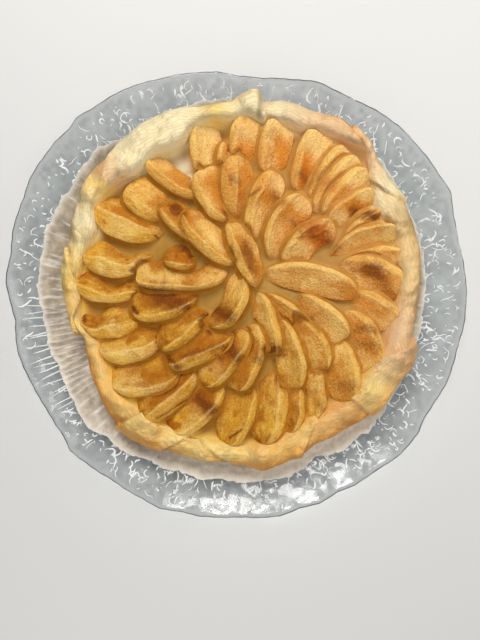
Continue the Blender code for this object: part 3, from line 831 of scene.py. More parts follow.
def makeCase():
    bearings = evenBearings(caseLook["bearings"])
    outer, lip, top = caseShape(bearings)
    bottom, floorTop = caseLook["bottom"], caseLook["floorTop"]
    r, z, run = caseProfile(outer, lip, top)
    across = (outer - r) / (outer - lip)  # 0 at the outer edge of the rim, 1 at the inner edge
    places = ringPoints(pieMiddle, bearings, r, z)

    onRim = smoothStep(z, bottom + 2 * mm, bottom + 6 * mm) * (1 - smoothStep(across, 1.0, 1.25))
    onWall = smoothStep(across, 0.9, 1.05) * smoothStep(z, floorTop + 1 * mm, floorTop + 4 * mm)
    folds = overlaps(bearings, across)
    puffs = 0.8 * softNoise(places, 17 * mm, 21) + 0.2 * softNoise(places, 8 * mm, 22)
    pleats = np.clip(0.25 - np.abs(softNoise(places, 14 * mm, 23)), 0, 1)
    relief = caseLook["puffDepth"] * puffs - 1.0 * mm * pleats + 0.08 * mm * softNoise(places, 2.6 * mm, 27)
    relief = (relief + caseLook["creaseStep"] * folds) * onRim
    relief = np.minimum(relief + 0.25 * mm * softNoise(places, 4 * mm, 28) * onWall, caseLook["reliefLimit"])
    # Outward direction of the profile, for the relief.
    alongR, alongZ = np.gradient(r, axis=0), np.gradient(z, axis=0)
    size = np.hypot(alongR, alongZ) + 1e-9
    r = r + alongZ / size * relief
    z = np.clip(z - alongR / size * relief, bottom, cadBox[1][2] + 0.3 * mm)

    under = [ringPoints(pieMiddle, bearings, 0 * lip + radius, bottom) for radius in (50 * mm, 110 * mm)]
    floorEdge = lip - caseLook["floorEdge"]
    inside = [ringPoints(pieMiddle, bearings, floorEdge * share, floorTop) for share in (0.92, 0.8, 0.6, 0.3)]
    rows = np.concatenate([under, ringPoints(pieMiddle, bearings, r, z), inside])
    tints, toast, moist = caseTints(bearings, across, places)

    def padded(values, startValue, endValue):
        width = values.shape[2:]
        start = np.broadcast_to(startValue, (len(under), len(bearings), *width))
        end = np.broadcast_to(endValue, (len(inside), len(bearings), *width))
        return np.concatenate([start, values, end])

    butter = np.array(pastryTints["butter"]) * caseLook["floorTone"]
    marks = {
        "tint": padded(tints, butter, butter),
        "toast": padded(toast, 0.4, 0.1),
        "layer": padded(run / caseLook["layerGap"], 0.0, 0.0),
        "rim": padded(onRim * (1 - 0.7 * moist), 0.0, 0.0),
        "fold": padded(np.clip(-folds * 2, 0, 1) * onRim, 0.0, 0.0),
        "moist": padded(moist, 0.0, 1.0),
    }
    settle(ringMesh("pastryCase", rows, marks), pastryMaterial(), "pastry_case")
    print("pastry case ready")


def pastryMaterial():
    material, tree, shader = newMaterial(
        "bakedPastry", 0.5, Subsurface_Weight=0.12, Subsurface_Scale=0.004, Specular_IOR_Level=0.35
    )
    shader.inputs["Subsurface Radius"].default_value = (1.0, 0.55, 0.25)
    place = placeVector(tree)
    cloud, broad = dapple(tree, place, 0.007, 2.4), dapple(tree, place, 0.016, 3.0)
    tint, onRim, toast = mark(tree, "tint", "Color"), mark(tree, "rim"), mark(tree, "toast")

    # Wavy layers of the puff pastry: a height that climbs and then drops at the edge of each layer.
    warp = mark(tree, "layer")
    for wide, amount in ((0.016, 1.6), (0.0065, 0.9), (0.0025, 0.16)):
        warp = plus(tree, warp, product(tree, noise(tree, place, 1 / wide, 0.0), 2 * amount))
    saw = maths(tree, "FRACT", warp)
    patchy = plus(tree, product(tree, broad, 0.6), 0.4)
    line = product(tree, remap(tree, saw, 0.66, 0.95), onRim, patchy)
    crown = product(tree, remap(tree, saw, 0.45, 0.05, 0.0, 0.5), onRim)

    paler = mixColour(tree, 0.5, tint, caseLook["paleLayer"])
    base = mixColour(tree, product(tree, cloud, 0.5), tint, paler)
    base = mixColour(tree, crown, base, paler)
    toasting = plus(tree, toast, product(tree, line, plus(tree, toast, 0.50)), clamp=True)
    # Darker on the low side of each fold, at the foot of its step.
    toasting = plus(tree, toasting, product(tree, mark(tree, "fold"), 0.3), clamp=True)
    colour = useGroup(
        tree, bakedColour, Base=base, Toasted=caseLook["toasted"], Scorched=caseLook["scorched"],
        Toast=toasting, Scorch=0.0, Grit=dapple(tree, place, 0.0016, 1.4),
    )["Color"]  # fmt: skip
    tree.links.new(colour, shader.inputs["Base Color"])
    tree.links.new(remap(tree, mark(tree, "moist"), 0.0, 1.0, 0.56, 0.25), shader.inputs["Roughness"])
    steps = product(tree, saw, onRim, plus(tree, broad, 0.35))
    threads = noise(tree, place, 500.0, 4.0, Distortion=1.5)
    bump(tree, shader, plus(tree, steps, product(tree, threads, 0.25)), caseLook["layerStep"], 0.9)
    return material


makeCase()

# ---- apple slices

sliceLook = {
    "bottom": 10.1 * mm,
    "coreShare": 0.16,
    "backThickness": 9.2 * mm,
    "backLift": 3.2 * mm,
    "tipReach": 0.6 * mm,
    "coreTuck": 4.0 * mm,
    "ridgePlace": 0.82,
    "sideShare": 0.42,
    "outerLifts": (4.6 * mm, 0.0),
    "middleLifts": (5.4 * mm, 1.6 * mm),
    "clearance": 0.25 * mm,
    "stations": 54,
    "gridCell": 1.4 * mm,
    "gridHalf": 160 * mm,
    "lumps": 0.45 * mm,
    "creaseDepth": 0.6 * mm,
    "flatStart": 0.05,  # shares across a slice between which its underside is flat
    "flatEnd": 0.86,
    "backSteepness": math.radians(76),
    "fibres": (110.0, 420.0, 40.0),  # fineness along, across and through a slice
    "flesh": (0.92, 0.57, 0.08, 1),
    "fleshDeep": (0.72, 0.37, 0.022, 1),
    "fleshRosy": (1.0, 0.69, 0.31, 1),
    "backShadeYellow": (0.74, 0.40, 0.03, 1),
    # Painted highlight on ridges and crowns.
    "ridgeHighlight": (1.0, 0.77, 0.30, 1),
    "palePulp": (0.92, 0.66, 0.22, 1),
    "spice": (0.40, 0.13, 0.010, 1),
    "veins": (0.62, 0.26, 0.016, 1),
    # Painted shade in the crevices between slices.
    "creviceShade": (0.36, 0.12, 0.008, 1),
    "creviceShadeRosy": (0.62, 0.26, 0.035, 1),
    "toasted": (0.36, 0.105, 0.005, 1),
    "toastedRosy": (0.74, 0.25, 0.02, 1),
    "ruddy": (0.52, 0.11, 0.012, 1),
    "scorched": (0.19, 0.050, 0.006, 1),
}

# Slices, clockwise: outer tip, inner tip, then how far the back bulges to the anticlockwise side and
# the core side to the clockwise side, in steps.
outerRing = [
    ((200, 122), (203, 174), 12, 16), ((224, 140), (222, 176), 6, 9), ((250, 114), (242, 164), 17, 15),
    ((280, 120), (268, 172), 15, 13), ((318, 131), (300, 192), 15, 20), ((345, 146), (308, 200), 10, 22),
    ((360, 158), (315, 216), 17, 18), ((370, 173), (324, 218), 18, 16), ((378, 197), (328, 226), 17, 6),
    ((388, 212), (345, 240), 12, 14), ((405, 240), (332, 257), 23, 5), ((405, 255), (348, 264), 13, 10),
    ((405, 290), (340, 266), 22, 18), ((400, 318), (354, 290), 10, 24), ((374, 372), (343, 311), 23, 16),
    ((350, 404), (338, 338), 16, 14), ((312, 423), (304, 348), 18, 13), ((289, 434), (298, 380), 12, 13),
    ((262, 445), (275, 369), 20, 12), ((226, 446), (252, 385), 16, 14), ((170, 432), (222, 384), 18, 15),
    ((140, 420), (195, 372), 16, 16), ((110, 381), (178, 371), 20, 18), ((96, 347), (163, 330), 24, 14),
    ((77, 320), (140, 320), 18, 19), ((72, 280), (140, 290), 18, 15), ((80, 252), (152, 252), 25, 14),
    ((95, 203), (164, 230), 25, 11), ((127, 184), (168, 212), 20, 17), ((147, 152), (203, 190), 19, 9),
]  # fmt: skip
middleRing = [
    ((200, 168), (235, 218), 21, 17), ((238, 154), (238, 217), 17, 17), ((275, 170), (255, 240), 18, 19),
    ((305, 195), (271, 257), 19, 21), ((334, 223), (284, 262), 16, 16), ((357, 296), (262, 274), 22, 8),
    ((347, 338), (300, 295), 14, 14), ((318, 342), (266, 293), 11, 10), ((326, 370), (300, 320), 15, 12),
    ((297, 389), (278, 318), 16, 12), ((272, 354), (257, 292), 14, 9), ((234, 389), (255, 322), 19, 8),
    ((203, 385), (247, 330), 16, 13), ((168, 362), (232, 335), 15, 15), ((161, 350), (207, 312), 11, 19),
    ((131, 310), (197, 293), 18, 15), ((136, 272), (227, 270), 20, 12), ((164, 259), (195, 262), 9, 17),
    ((161, 206), (198, 240), 10, 14), ((184, 210), (238, 262), 18, 8),
]  # fmt: skip
centreSlices = [((207, 325), (238, 271), 25, 6, 3.2 * mm), ((228, 222), (256, 286), 9, 17, 5.4 * mm)]
# Slices whose core was scooped out in view: how deep, at what share of the length, and how wide.
coreScoops = {
    11: (8, 0.40, 0.35), 15: (3, 0.5, 0.22), 25: (14, 0.28, 0.20), 26: (15, 0.55, 0.17),
    27: (15, 0.64, 0.21), 28: (4, 0.7, 0.2), 30: (4, 0.5, 0.3), 31: (3, 0.5, 0.22), 32: (4, 0.85, 0.2),
    33: (11, 0.58, 0.30), 34: (14, 0.52, 0.25), 35: (5, 0.45, 0.2), 40: (5, 0.5, 0.22),
    45: (4, 0.5, 0.22), 47: (11, 0.62, 0.15), 49: (3, 0.5, 0.22), 51: (7, 0.45, 0.25),
}  # fmt: skip
# Slices whose core side lies open, not under a neighbour.
openCores = {9, 11, 25, 26, 27, 30, 32, 33, 34, 35, 36, 41, 47, 48, 51, 52}
# Slices that broke up in the oven.
crumbly = {35, 48}
# Slices that lean over so that more of the back shows: how far across the ridge lies.
ridgePlaces = {
    19: 0.7, 22: 0.62, 24: 0.70, 25: 0.62, 26: 0.60, 27: 0.50, 28: 0.48, 29: 0.72, 30: 0.65, 32: 0.5,
    33: 0.65, 41: 0.7, 44: 0.70, 45: 0.72, 50: 0.7, 51: 0.72, 52: 0.72,
}  # fmt: skip
# How blunt the outer and the inner end are, from pointed at 0 to blunt at 1, where not as usual.
sliceEnds = {
    1: (1.2, 0.9), 2: (0.6, 0.4), 3: (1.2, 0.8), 4: (1.5, 0.9), 5: (1.5, 0.7), 6: (1.2, 0.4),
    7: (1.2, 0.4), 8: (1.3, 0.4), 9: (1.4, 0.5), 10: (0.9, 0.3), 11: (1.1, 0.2), 14: (0.7, 0.3),
    17: (0.8, 0.3), 18: (0.8, 0.3), 19: (0.8, 0.2), 20: (0.9, 0.4), 24: (0.7, 0.5), 25: (0.9, 0.4),
    26: (0.7, 0.4), 27: (0.7, 0.3), 28: (0.9, 0.4), 29: (1, 0.6), 30: (1, 1), 33: (0.9, 0.5),
    34: (0.9, 0.5), 36: (1, 0.5), 37: (0.9, 0.3), 38: (0.5, 0.3), 39: (0.7, 0.2), 41: (1.5, 0.6),
    42: (1.2, 0.5), 44: (1.2, 0.6), 45: (0.5, 0.5), 47: (1.4, 0.9), 48: (0.7, 0.3), 50: (0.9, 0.6),
}  # fmt: skip

# Baked patches on the slices, on the same grid: start, end, half width and how strong.
toastMarks = [
    ((200, 338), (238, 366), 14, 0.6), ((222, 374), (240, 362), 9, 0.6),
    ((172, 398), (196, 384), 9, 0.5), ((250, 392), (262, 372), 8, 0.5), ((292, 300), (312, 318), 8, 0.4),
    ((322, 282), (352, 292), 9, 0.55), ((280, 380), (286, 400), 6, 0.4),
    ((136, 330), (156, 322), 6, 0.4), ((303, 160), (306, 178), 12, 0.8),
    ((318, 174), (330, 187), 9, 0.8), ((262, 178), (252, 206), 6, 0.7), ((278, 216), (292, 210), 6, 0.6),
    ((128, 373), (168, 367), 5, 0.6), ((150, 395), (185, 380), 6, 0.5),
    ((185, 420), (205, 405), 8, 0.25), ((350, 232), (372, 226), 5, 0.3),
    ((272, 228), (286, 242), 9, 0.45), ((292, 222), (298, 238), 7, 0.5),
    ((262, 196), (266, 216), 7, 0.4), ((356, 249), (394, 252), 7, 0.65),
    ((244, 172), (250, 196), 9, 0.7), ((264, 150), (262, 164), 7, 0.6),
    ((170, 198), (190, 216), 14, 0.8), ((352, 326), (372, 350), 14, 0.6),
    ((330, 375), (346, 392), 13, 0.5), ((318, 380), (322, 400), 8, 0.5),
    ((348, 282), (354, 298), 9, 0.55), ((158, 172), (188, 192), 10, 0.5),
    ((218, 184), (232, 212), 12, 0.75), ((284, 150), (282, 168), 9, 0.6),
    ((368, 272), (392, 300), 11, 0.6), ((358, 300), (380, 312), 9, 0.5),
    ((256, 146), (250, 160), 8, 0.5), ((190, 262), (196, 280), 6, 0.4), ((244, 170), (252, 160), 6, 0.5),
    ((312, 222), (322, 244), 15, 0.8), ((352, 208), (376, 214), 8, 0.9),
    ((256, 188), (268, 200), 7, 0.8), ((282, 214), (288, 232), 6, 0.6), ((344, 192), (352, 200), 7, 0.6),
    ((150, 214), (168, 226), 8, 0.5), ((108, 214), (140, 224), 6, 0.4), ((146, 300), (190, 296), 9, 0.7),
    ((176, 352), (214, 344), 9, 0.7), ((222, 350), (234, 366), 8, 0.7), ((244, 368), (252, 380), 7, 0.7),
    ((140, 386), (180, 372), 7, 0.6), ((160, 414), (182, 396), 6, 0.6), ((186, 402), (206, 398), 8, 0.8),
    ((236, 146), (254, 152), 13, 0.85), ((228, 172), (240, 196), 13, 0.95),
    ((279, 142), (284, 162), 12, 0.85), ((302, 162), (306, 184), 14, 0.95),
    ((318, 174), (328, 192), 11, 0.85), ((330, 182), (334, 192), 9, 0.8),
    ((338, 184), (350, 192), 8, 0.4), ((340, 204), (366, 208), 10, 0.8),
    ((366, 224), (380, 232), 7, 0.6), ((350, 232), (372, 246), 8, 0.4),
    ((355, 262), (392, 282), 14, 0.55), ((365, 262), (395, 298), 10, 0.5),
    ((365, 300), (385, 318), 10, 0.35), ((360, 325), (375, 350), 12, 0.6),
    ((336, 370), (350, 390), 12, 0.5), ((320, 365), (326, 395), 7, 0.45),
    ((296, 360), (300, 410), 10, 0.3), ((252, 176), (262, 190), 9, 0.85),
    ((265, 180), (278, 204), 8, 0.5), ((284, 202), (300, 218), 9, 0.75),
    ((305, 228), (332, 246), 14, 0.9), ((168, 250), (188, 262), 12, 0.9),
    ((292, 270), (318, 272), 9, 0.6), ((335, 285), (350, 296), 9, 0.4),
    ((300, 300), (326, 322), 9, 0.45), ((280, 300), (310, 330), 7, 0.4),
    ((284, 326), (292, 352), 9, 0.35), ((305, 330), (325, 356), 7, 0.35),
    ((215, 152), (221, 158), 8, 0.65), ((212, 180), (228, 212), 10, 0.8),
    ((175, 172), (190, 184), 10, 0.5), ((155, 202), (170, 216), 9, 0.65),
    ((104, 204), (128, 214), 8, 0.45), ((146, 226), (162, 234), 7, 0.6),
    ((172, 204), (186, 218), 11, 0.8), ((186, 222), (204, 248), 7, 0.6),
    ((180, 242), (192, 266), 12, 0.85), ((106, 246), (120, 255), 6, 0.7),
    ((88, 268), (100, 280), 7, 0.7), ((146, 258), (168, 260), 4, 0.8), ((160, 290), (222, 290), 6, 0.7),
    ((150, 296), (198, 306), 15, 0.95), ((82, 306), (98, 320), 6, 0.5), ((116, 330), (158, 332), 6, 0.4),
    ((150, 330), (190, 338), 12, 0.4), ((136, 366), (172, 384), 12, 0.4),
    ((172, 360), (222, 350), 11, 0.7), ((158, 406), (188, 392), 12, 0.6),
    ((196, 396), (214, 410), 12, 0.7), ((226, 340), (244, 352), 10, 0.7),
    ((208, 300), (226, 322), 13, 0.85), ((236, 238), (254, 268), 12, 0.7),
    ((250, 350), (268, 372), 10, 0.6), ((256, 386), (270, 400), 8, 0.5),
    ((230, 390), (248, 412), 10, 0.4), ((212, 250), (236, 262), 5, 0.5),
    ((208, 420), (236, 432), 8, 0.3), ((240, 118), (254, 128), 6, 0.3),
]  # fmt: skip
scorchMarks = [
    ((228, 346), (240, 358), 6, 0.45), ((214, 352), (222, 360), 4, 0.4),
    ((196, 268), (204, 262), 4, 0.5), ((197, 398), (212, 410), 8, 0.6), ((210, 310), (232, 318), 7, 0.5),
    ((142, 290), (172, 293), 4, 0.8), ((232, 178), (238, 184), 4, 0.5),
    ((302, 174), (308, 180), 5, 0.45), ((356, 212), (376, 216), 6, 0.85),
    ((363, 266), (380, 276), 8, 0.6), ((372, 268), (392, 296), 8, 0.35),
    ((360, 329), (376, 330), 6, 0.5), ((359, 344), (377, 346), 7, 0.42),
    ((339, 385), (351, 387), 7, 0.4), ((324, 236), (334, 244), 6, 0.5), ((308, 232), (316, 236), 4, 0.4),
    ((252, 196), (258, 190), 3, 0.6), ((275, 196), (282, 204), 5, 0.5), ((174, 206), (180, 212), 6, 0.9),
    ((184, 246), (192, 254), 7, 0.75), ((140, 288), (164, 294), 4, 0.9),
    ((156, 298), (186, 306), 9, 0.75), ((132, 308), (138, 312), 3, 0.95),
    ((178, 300), (200, 296), 4, 0.5), ((170, 358), (180, 368), 5, 0.8), ((184, 356), (224, 346), 4, 0.5),
    ((212, 304), (226, 316), 8, 0.75), ((206, 328), (209, 334), 3, 0.8),
    ((230, 350), (238, 358), 6, 0.6), ((246, 246), (252, 268), 7, 0.6), ((266, 350), (279, 350), 6, 1.0),
    ((174, 246), (190, 252), 5, 0.5), ((256, 358), (264, 366), 5, 0.5),
    ((198, 398), (212, 410), 7, 0.55), ((104, 221), (106, 223), 1.2, 0.9),
    ((154, 234), (156, 236), 1.4, 0.9), ((80, 308), (84, 322), 2.5, 0.8),
    ((157, 418), (186, 400), 1.3, 0.85), ((230, 438), (242, 429), 1.3, 0.85),
    ((224, 211), (226, 215), 3, 0.6), ((230, 248), (236, 262), 2.5, 0.6),
    ((320, 405), (325, 412), 3, 0.5), ((312, 318), (318, 330), 3, 0.4),
    ((162, 262), (164, 284), 0.9, 0.6), ((348, 262), (356, 272), 3, 0.3),
    ((293, 220), (301, 236), 3, 0.45),
]  # fmt: skip
paleMarks = [
    ((100, 352), (150, 352), 8, 0.65), ((120, 385), (160, 392), 9, 0.7),
    ((352, 243), (394, 243), 9, 0.7), ((320, 150), (336, 162), 8, 0.4), ((358, 196), (376, 186), 7, 0.4),
    ((98, 300), (128, 308), 8, 0.45), ((98, 266), (132, 274), 7, 0.45), ((96, 326), (120, 330), 6, 0.4),
    ((354, 233), (390, 236), 8, 0.8), ((270, 124), (292, 126), 7, 0.5), ((366, 178), (374, 190), 7, 0.5),
    ((300, 240), (286, 254), 6, 0.4), ((214, 420), (190, 438), 6, 0.6), ((92, 226), (130, 240), 4, 0.4),
    ((140, 266), (158, 282), 10, 0.7), ((176, 276), (222, 272), 7, 0.5),
    ((128, 374), (146, 390), 9, 0.6), ((190, 372), (195, 386), 5, 0.8), ((212, 368), (228, 376), 9, 0.6),
    ((256, 300), (262, 330), 9, 0.5), ((334, 318), (344, 334), 8, 0.6), ((308, 362), (320, 372), 7, 0.4),
    ((192, 214), (222, 250), 4, 0.7), ((200, 408), (186, 430), 7, 0.5), ((205, 130), (208, 168), 8, 0.4),
    ((246, 118), (256, 134), 7, 0.35), ((312, 136), (324, 146), 9, 0.45),
    ((345, 158), (352, 176), 7, 0.5), ((295, 238), (276, 256), 7, 0.4),
]  # fmt: skip
ruddyMarks = [
    ((303, 162), (306, 176), 8, 0.5), ((319, 176), (330, 186), 7, 0.5),
    ((310, 226), (330, 240), 14, 0.95), ((226, 168), (240, 204), 9, 0.6),
    ((306, 172), (308, 184), 8, 0.5), ((320, 176), (332, 188), 8, 0.4), ((356, 210), (376, 215), 7, 0.5),
]  # fmt: skip
knots = [((176, 209), 6.5), ((113, 322), 5.5), ((290, 422), 4.5)]


juiceLevel = 12.2 * mm


def bulge(row, u):
    # Half outline of a slice from 0 at a tip over 1 in the middle. An end is pointed at 0 and blunt at 1.
    along = 2 * np.clip(u, 0, 1) - 1
    blunt = np.where(along < 0, row["ends"][0], row["ends"][1])
    return (1 - np.abs(along) ** (1.8 + 1.0 * blunt)) ** (0.92 - 0.47 * blunt)


def sliceRows():
    # Every slice as a dictionary of its place and size.
    rows = [(*row, sliceLook["outerLifts"], 0) for row in outerRing]
    rows += [(*row, sliceLook["middleLifts"], 1) for row in middleRing]
    rows += [(*row[:4], (row[4], row[4]), level + 2) for level, row in enumerate(centreSlices)]
    step = layout["pieStep"]
    made = []
    for number, (outer, inner, back, core, lifts, level) in enumerate(rows, 1):
        outerTip, innerTip = plan(outer), plan(inner)
        along = (outerTip - innerTip) / np.linalg.norm(outerTip - innerTip)
        middle = (outerTip + innerTip) / 2 - pieMiddle
        reach = sliceLook["tipReach"]
        made.append({
            "number": number, "outer": outerTip + along * reach, "inner": innerTip - along * reach,
            "along": along, "aside": np.array([-along[1], along[0]]), "lifts": lifts, "level": level,
            "length": np.linalg.norm(outerTip - innerTip) + 2 * reach, "back": back * step,
            "core": core * step + (0 if number in openCores else sliceLook["coreTuck"]),
            "scoop": coreScoops.get(number, (0, 0.5, 0.2)),
            "bearing": math.atan2(middle[1], middle[0]), "ends": sliceEnds.get(number, (0.9, 0.65)),
        })  # fmt: skip
    return made


def liesOver(upper, lower):
    # A higher level covers a lower one, and within a ring each slice covers its anticlockwise neighbour.
    if upper["level"] != lower["level"]:
        return upper["level"] > lower["level"]
    return 0 < (lower["bearing"] - upper["bearing"]) % math.tau < math.pi


def sliceFrame(row, u):
    # Width, scoop, thickness and bottom of a slice at a share u of its length.
    spread = bulge(row, u)
    depth, place, width = row["scoop"]
    hollow = depth * layout["pieStep"] * np.exp(-(((u - place) / width) ** 2))
    taper = 0.42 + 0.58 * spread
    bottom = sliceLook["bottom"] + row["lifts"][0] + (row["lifts"][1] - row["lifts"][0]) * np.clip(u, 0, 1)
    return spread, hollow, sliceLook["backThickness"] * taper, bottom


def underside(row, spots):
    # How high something may reach at each spot under this slice, with more room away from it.
    away = spots - row["outer"]
    u = -(away @ row["along"]) / row["length"]
    off = away @ row["aside"]
    spread, hollow, thick, bottom = sliceFrame(row, u)
    low, high = -row["core"] * spread + hollow, row["back"] * spread
    t = np.clip((off - low) / np.maximum(high - low, 1e-6), 0, 1)
    beyond = np.maximum(np.maximum(-u, u - 1) * row["length"], 0)
    beside = np.maximum(np.maximum(low - off, off - high), 0)
    rounded = sliceLook["sideShare"] * thick * smoothStep(t, sliceLook["flatEnd"], 1.0)
    height = bottom + sliceLook["backLift"] * spread * t + rounded
    return height - sliceLook["clearance"] + 1.6 * np.hypot(beyond, beside)


def sectionCurve(ridge, dish):
    # The cross-section from the core round the underside, up the back and down the cut face:
    # place across, share of the lift, share of the thickness, and how much it is face or ridge.
    side, core, steep = sliceLook["sideShare"], sliceLook["coreShare"], sliceLook["backSteepness"]
    flatStart, flatEnd = sliceLook["flatStart"], sliceLook["flatEnd"]
    rows = []
    for t in np.linspace(flatStart, flatEnd, 7):
        rows.append((t, t, 0.0, 0.0, 0.0))
    for angle in np.linspace(0, math.pi / 2, 5)[1:]:
        t = flatEnd + (1 - flatEnd) * math.sin(angle)
        rows.append((t, t, side * (1 - math.cos(angle)), 0.0, 0.0))
    for angle in np.linspace(0, steep, 14)[1:]:
        t = ridge + (1 - ridge) * (math.cos(angle) - math.cos(steep)) / (1 - math.cos(steep))
        b = side + (1 - side) * math.sin(angle) / math.sin(steep)
        rows.append((t, t, b, 0.0, math.exp(-(((steep - angle) / 0.10) ** 2))))
    for s in np.linspace(0, 1, 26)[1:]:
        t = ridge * (1 - s) + flatStart * s
        b = 1 - (1 - core) * s - dish * math.sin(math.pi * s)
        rows.append((t, t, b, smoothStep(s, 0.0, 0.08), math.exp(-((s / 0.055) ** 2))))
    for angle in np.linspace(0, math.pi, 6)[1:-1]:
        t = flatStart * (1 - math.sin(angle))
        rows.append((t, t, core * (1 + math.cos(angle)) / 2, 1.0, 0.0))
    return np.array(rows)


def markField(spots, marks, seed):
    # Strength of the listed patches at each spot, with ragged edges.
    step = layout["pieStep"]
    flat = spots[:, :2]
    wander = np.stack([softNoise(flat, 5 * mm, seed), softNoise(flat, 5 * mm, seed + 1)], axis=-1)
    rough = np.stack([softNoise(flat, 1.7 * mm, seed + 2), softNoise(flat, 1.7 * mm, seed + 3)], axis=-1)
    left = np.ones(len(flat))
    for start, end, width, amount in marks:
        a, b, half = plan(start), plan(end), width * step
        moved = flat + wander * min(half * 0.45, 2.2 * mm) + rough * min(half * 0.25, 0.9 * mm)
        run = np.clip((moved - a) @ (b - a) / max((b - a) @ (b - a), 1e-9), 0, 1)
        away = np.linalg.norm(moved - a - run[:, None] * (b - a), axis=1)
        left *= 1 - amount * np.exp(-((away / (half * 0.85)) ** 2))
    return 1 - left


def knotRelief(spots):
    relief, dark = np.zeros(len(spots)), np.zeros(len(spots))
    for place, radius in knots:
        away = np.linalg.norm(spots[:, :2] - plan(place), axis=1) / (radius * layout["pieStep"])
        relief += 0.55 * mm * np.exp(-(((away - 0.75) / 0.28) ** 2))
        relief -= 0.9 * mm * np.exp(-((away / 0.42) ** 2))
        dark += 0.75 * np.exp(-(((away - 0.8) / 0.14) ** 2)) + 0.6 * np.exp(-((away / 0.35) ** 2))
    return relief, dark


def rimLimit(spots, heights):
    # Pulls spots in towards the middle where they would reach into the pastry's inner wall.
    away = spots - pieMiddle
    bearings, radii = np.arctan2(away[:, 1], away[:, 0]), np.linalg.norm(away, axis=1)
    _, lip, top = caseShape(bearings)
    foot = lip - caseLook["wallFoot"]
    floorTop = caseLook["floorTop"]
    climb = np.clip((heights - floorTop) / (top - caseLook["wallDrop"] - floorTop), 0, 1)
    limit = foot + (lip - foot) * climb - 0.3 * mm
    return pieMiddle + away * (np.minimum(radii, limit) / radii)[:, None]


def heightGrid(tops):
    # Highest spots over a fine grid, blurred.
    cell, half = sliceLook["gridCell"], sliceLook["gridHalf"]
    grid = np.full((int(2 * half / cell),) * 2, juiceLevel)
    column, line = (((tops[:, axis] + half) / cell).astype(int) for axis in (0, 1))
    np.maximum.at(grid, (column, line), tops[:, 2])
    for _ in range(4):
        for axis in (0, 1):
            grid = (np.roll(grid, 1, axis) + grid + np.roll(grid, -1, axis)) / 3
    return grid


def readGrid(grid, spots):
    at = (spots[:, :2] + sliceLook["gridHalf"]) / sliceLook["gridCell"] - 0.5
    base = np.floor(at).astype(int)
    part = at - base
    total = 0
    for right, up in itertools.product((0, 1), repeat=2):
        weight = np.abs(1 - right - part[:, 0]) * np.abs(1 - up - part[:, 1])
        total = total + weight * grid[base[:, 0] + right, base[:, 1] + up]
    return total


def sliceRelief(number, solid, along, aside):
    # Lumps, grain, knots and creases, and where the creases and the dark rings of the knots lie.
    lumps = sliceLook["lumps"] * (softNoise(solid, 7 * mm, 31) + 0.5 * softNoise(solid, 3 * mm, 32))
    grainy = 0.10 * mm * softNoise(solid, 1.1 * mm, 33)
    if number in crumbly:
        coarse = 1 - 2.4 * np.abs(softNoise(solid, 4.5 * mm, 38))
        fine = 0.6 * softNoise(solid, 2.2 * mm, 34) + 0.3 * softNoise(solid, 1.1 * mm, 35)
        grainy = mm * (fine + 1.1 * coarse)
    ringed, ringDark = knotRelief(solid)
    lanes = np.column_stack([along / 16, aside / 5]) / mm + number * 3.7
    creases = np.exp(-((softNoise(lanes, 1.0, 39) / 0.26) ** 2))
    creases = creases * smoothStep(softNoise(lanes, 1.7, 40), -0.3, 0.4)
    return lumps + grainy + ringed - sliceLook["creaseDepth"] * creases, creases, ringDark


def sliceForm(row, rows, u):
    # Points of one slice, and what its colours need to know about them.
    number, count = row["number"], len(u)
    dish = 0.05 + 0.09 * math.sin(number * 1.9)
    section = sectionCurve(ridgePlaces.get(number, sliceLook["ridgePlace"]), dish)
    across, liftShare, thickShare, faceShare, ridgeShare = section.T
    spread, hollow, thick, bottom = sliceFrame(row, u)
    swell = 1 + 0.08 * math.sin(number * 2.4)
    swell = swell + 0.07 * np.sin(u * 7 + number * 1.7) + 0.05 * np.sin(u * 15 + number)
    thick = thick * swell * np.clip(spread / 0.5, 0, 1) ** 0.7
    low, high = -row["core"] * spread + hollow, row["back"] * spread
    along = u * row["length"]
    wobble = 0.8 * mm * softNoise(np.column_stack([along, np.full(count, number * 1.0)]), 9 * mm, 36)
    ridgeWobble = 0.05 * softNoise(np.column_stack([along, np.full(count, number * 2.0)]), 8 * mm, 37)
    crest = np.exp(-(((across - 0.75) / 0.2) ** 2))
    shares = across + ridgeWobble[:, None] * crest * (1 - across) * 2
    place = low[:, None] + (high - low)[:, None] * shares + (wobble * spread)[:, None]
    axis = row["outer"] + (row["inner"] - row["outer"]) * u[:, None]
    spots = (axis[:, None, :] + row["aside"] * place[..., None]).reshape(-1, 2)
    lift = sliceLook["backLift"] * spread
    z = (bottom[:, None] + lift[:, None] * liftShare + thick[:, None] * thickShare).ravel()
    alongAll = np.repeat(along, len(across))
    relief, creases, ringDark = sliceRelief(number, np.column_stack([spots, z]), alongAll, place.ravel())
    upward = np.tile(smoothStep(thickShare, 0.1, 0.5), count)
    z = z + relief * upward
    room = np.full(len(z), 1.0)
    for other in rows:
        if other is not row and liesOver(other, row):
            allowed = underside(other, spots)
            room = np.minimum(room, np.clip(allowed - z, 0, None))
            z = np.minimum(z, allowed)
    z = np.maximum(z, caseLook["floorTop"] + 0.1 * mm)
    ridge = np.tile(ridgeShare, count) * np.repeat(smoothStep(spread, 0.1, 0.5), len(across))
    acrossAll = np.tile(across, count)
    grain = np.column_stack([alongAll, acrossAll * 0.02, np.full(len(z), number * 0.1)])
    return {
        "solid": np.column_stack([rimLimit(spots, z), z]), "points": len(across), "room": room,
        "face": np.tile(faceShare, count), "ridge": ridge, "across": acrossAll, "creases": creases * upward,
        "ringDark": ringDark, "grain": grain,
    }  # fmt: skip


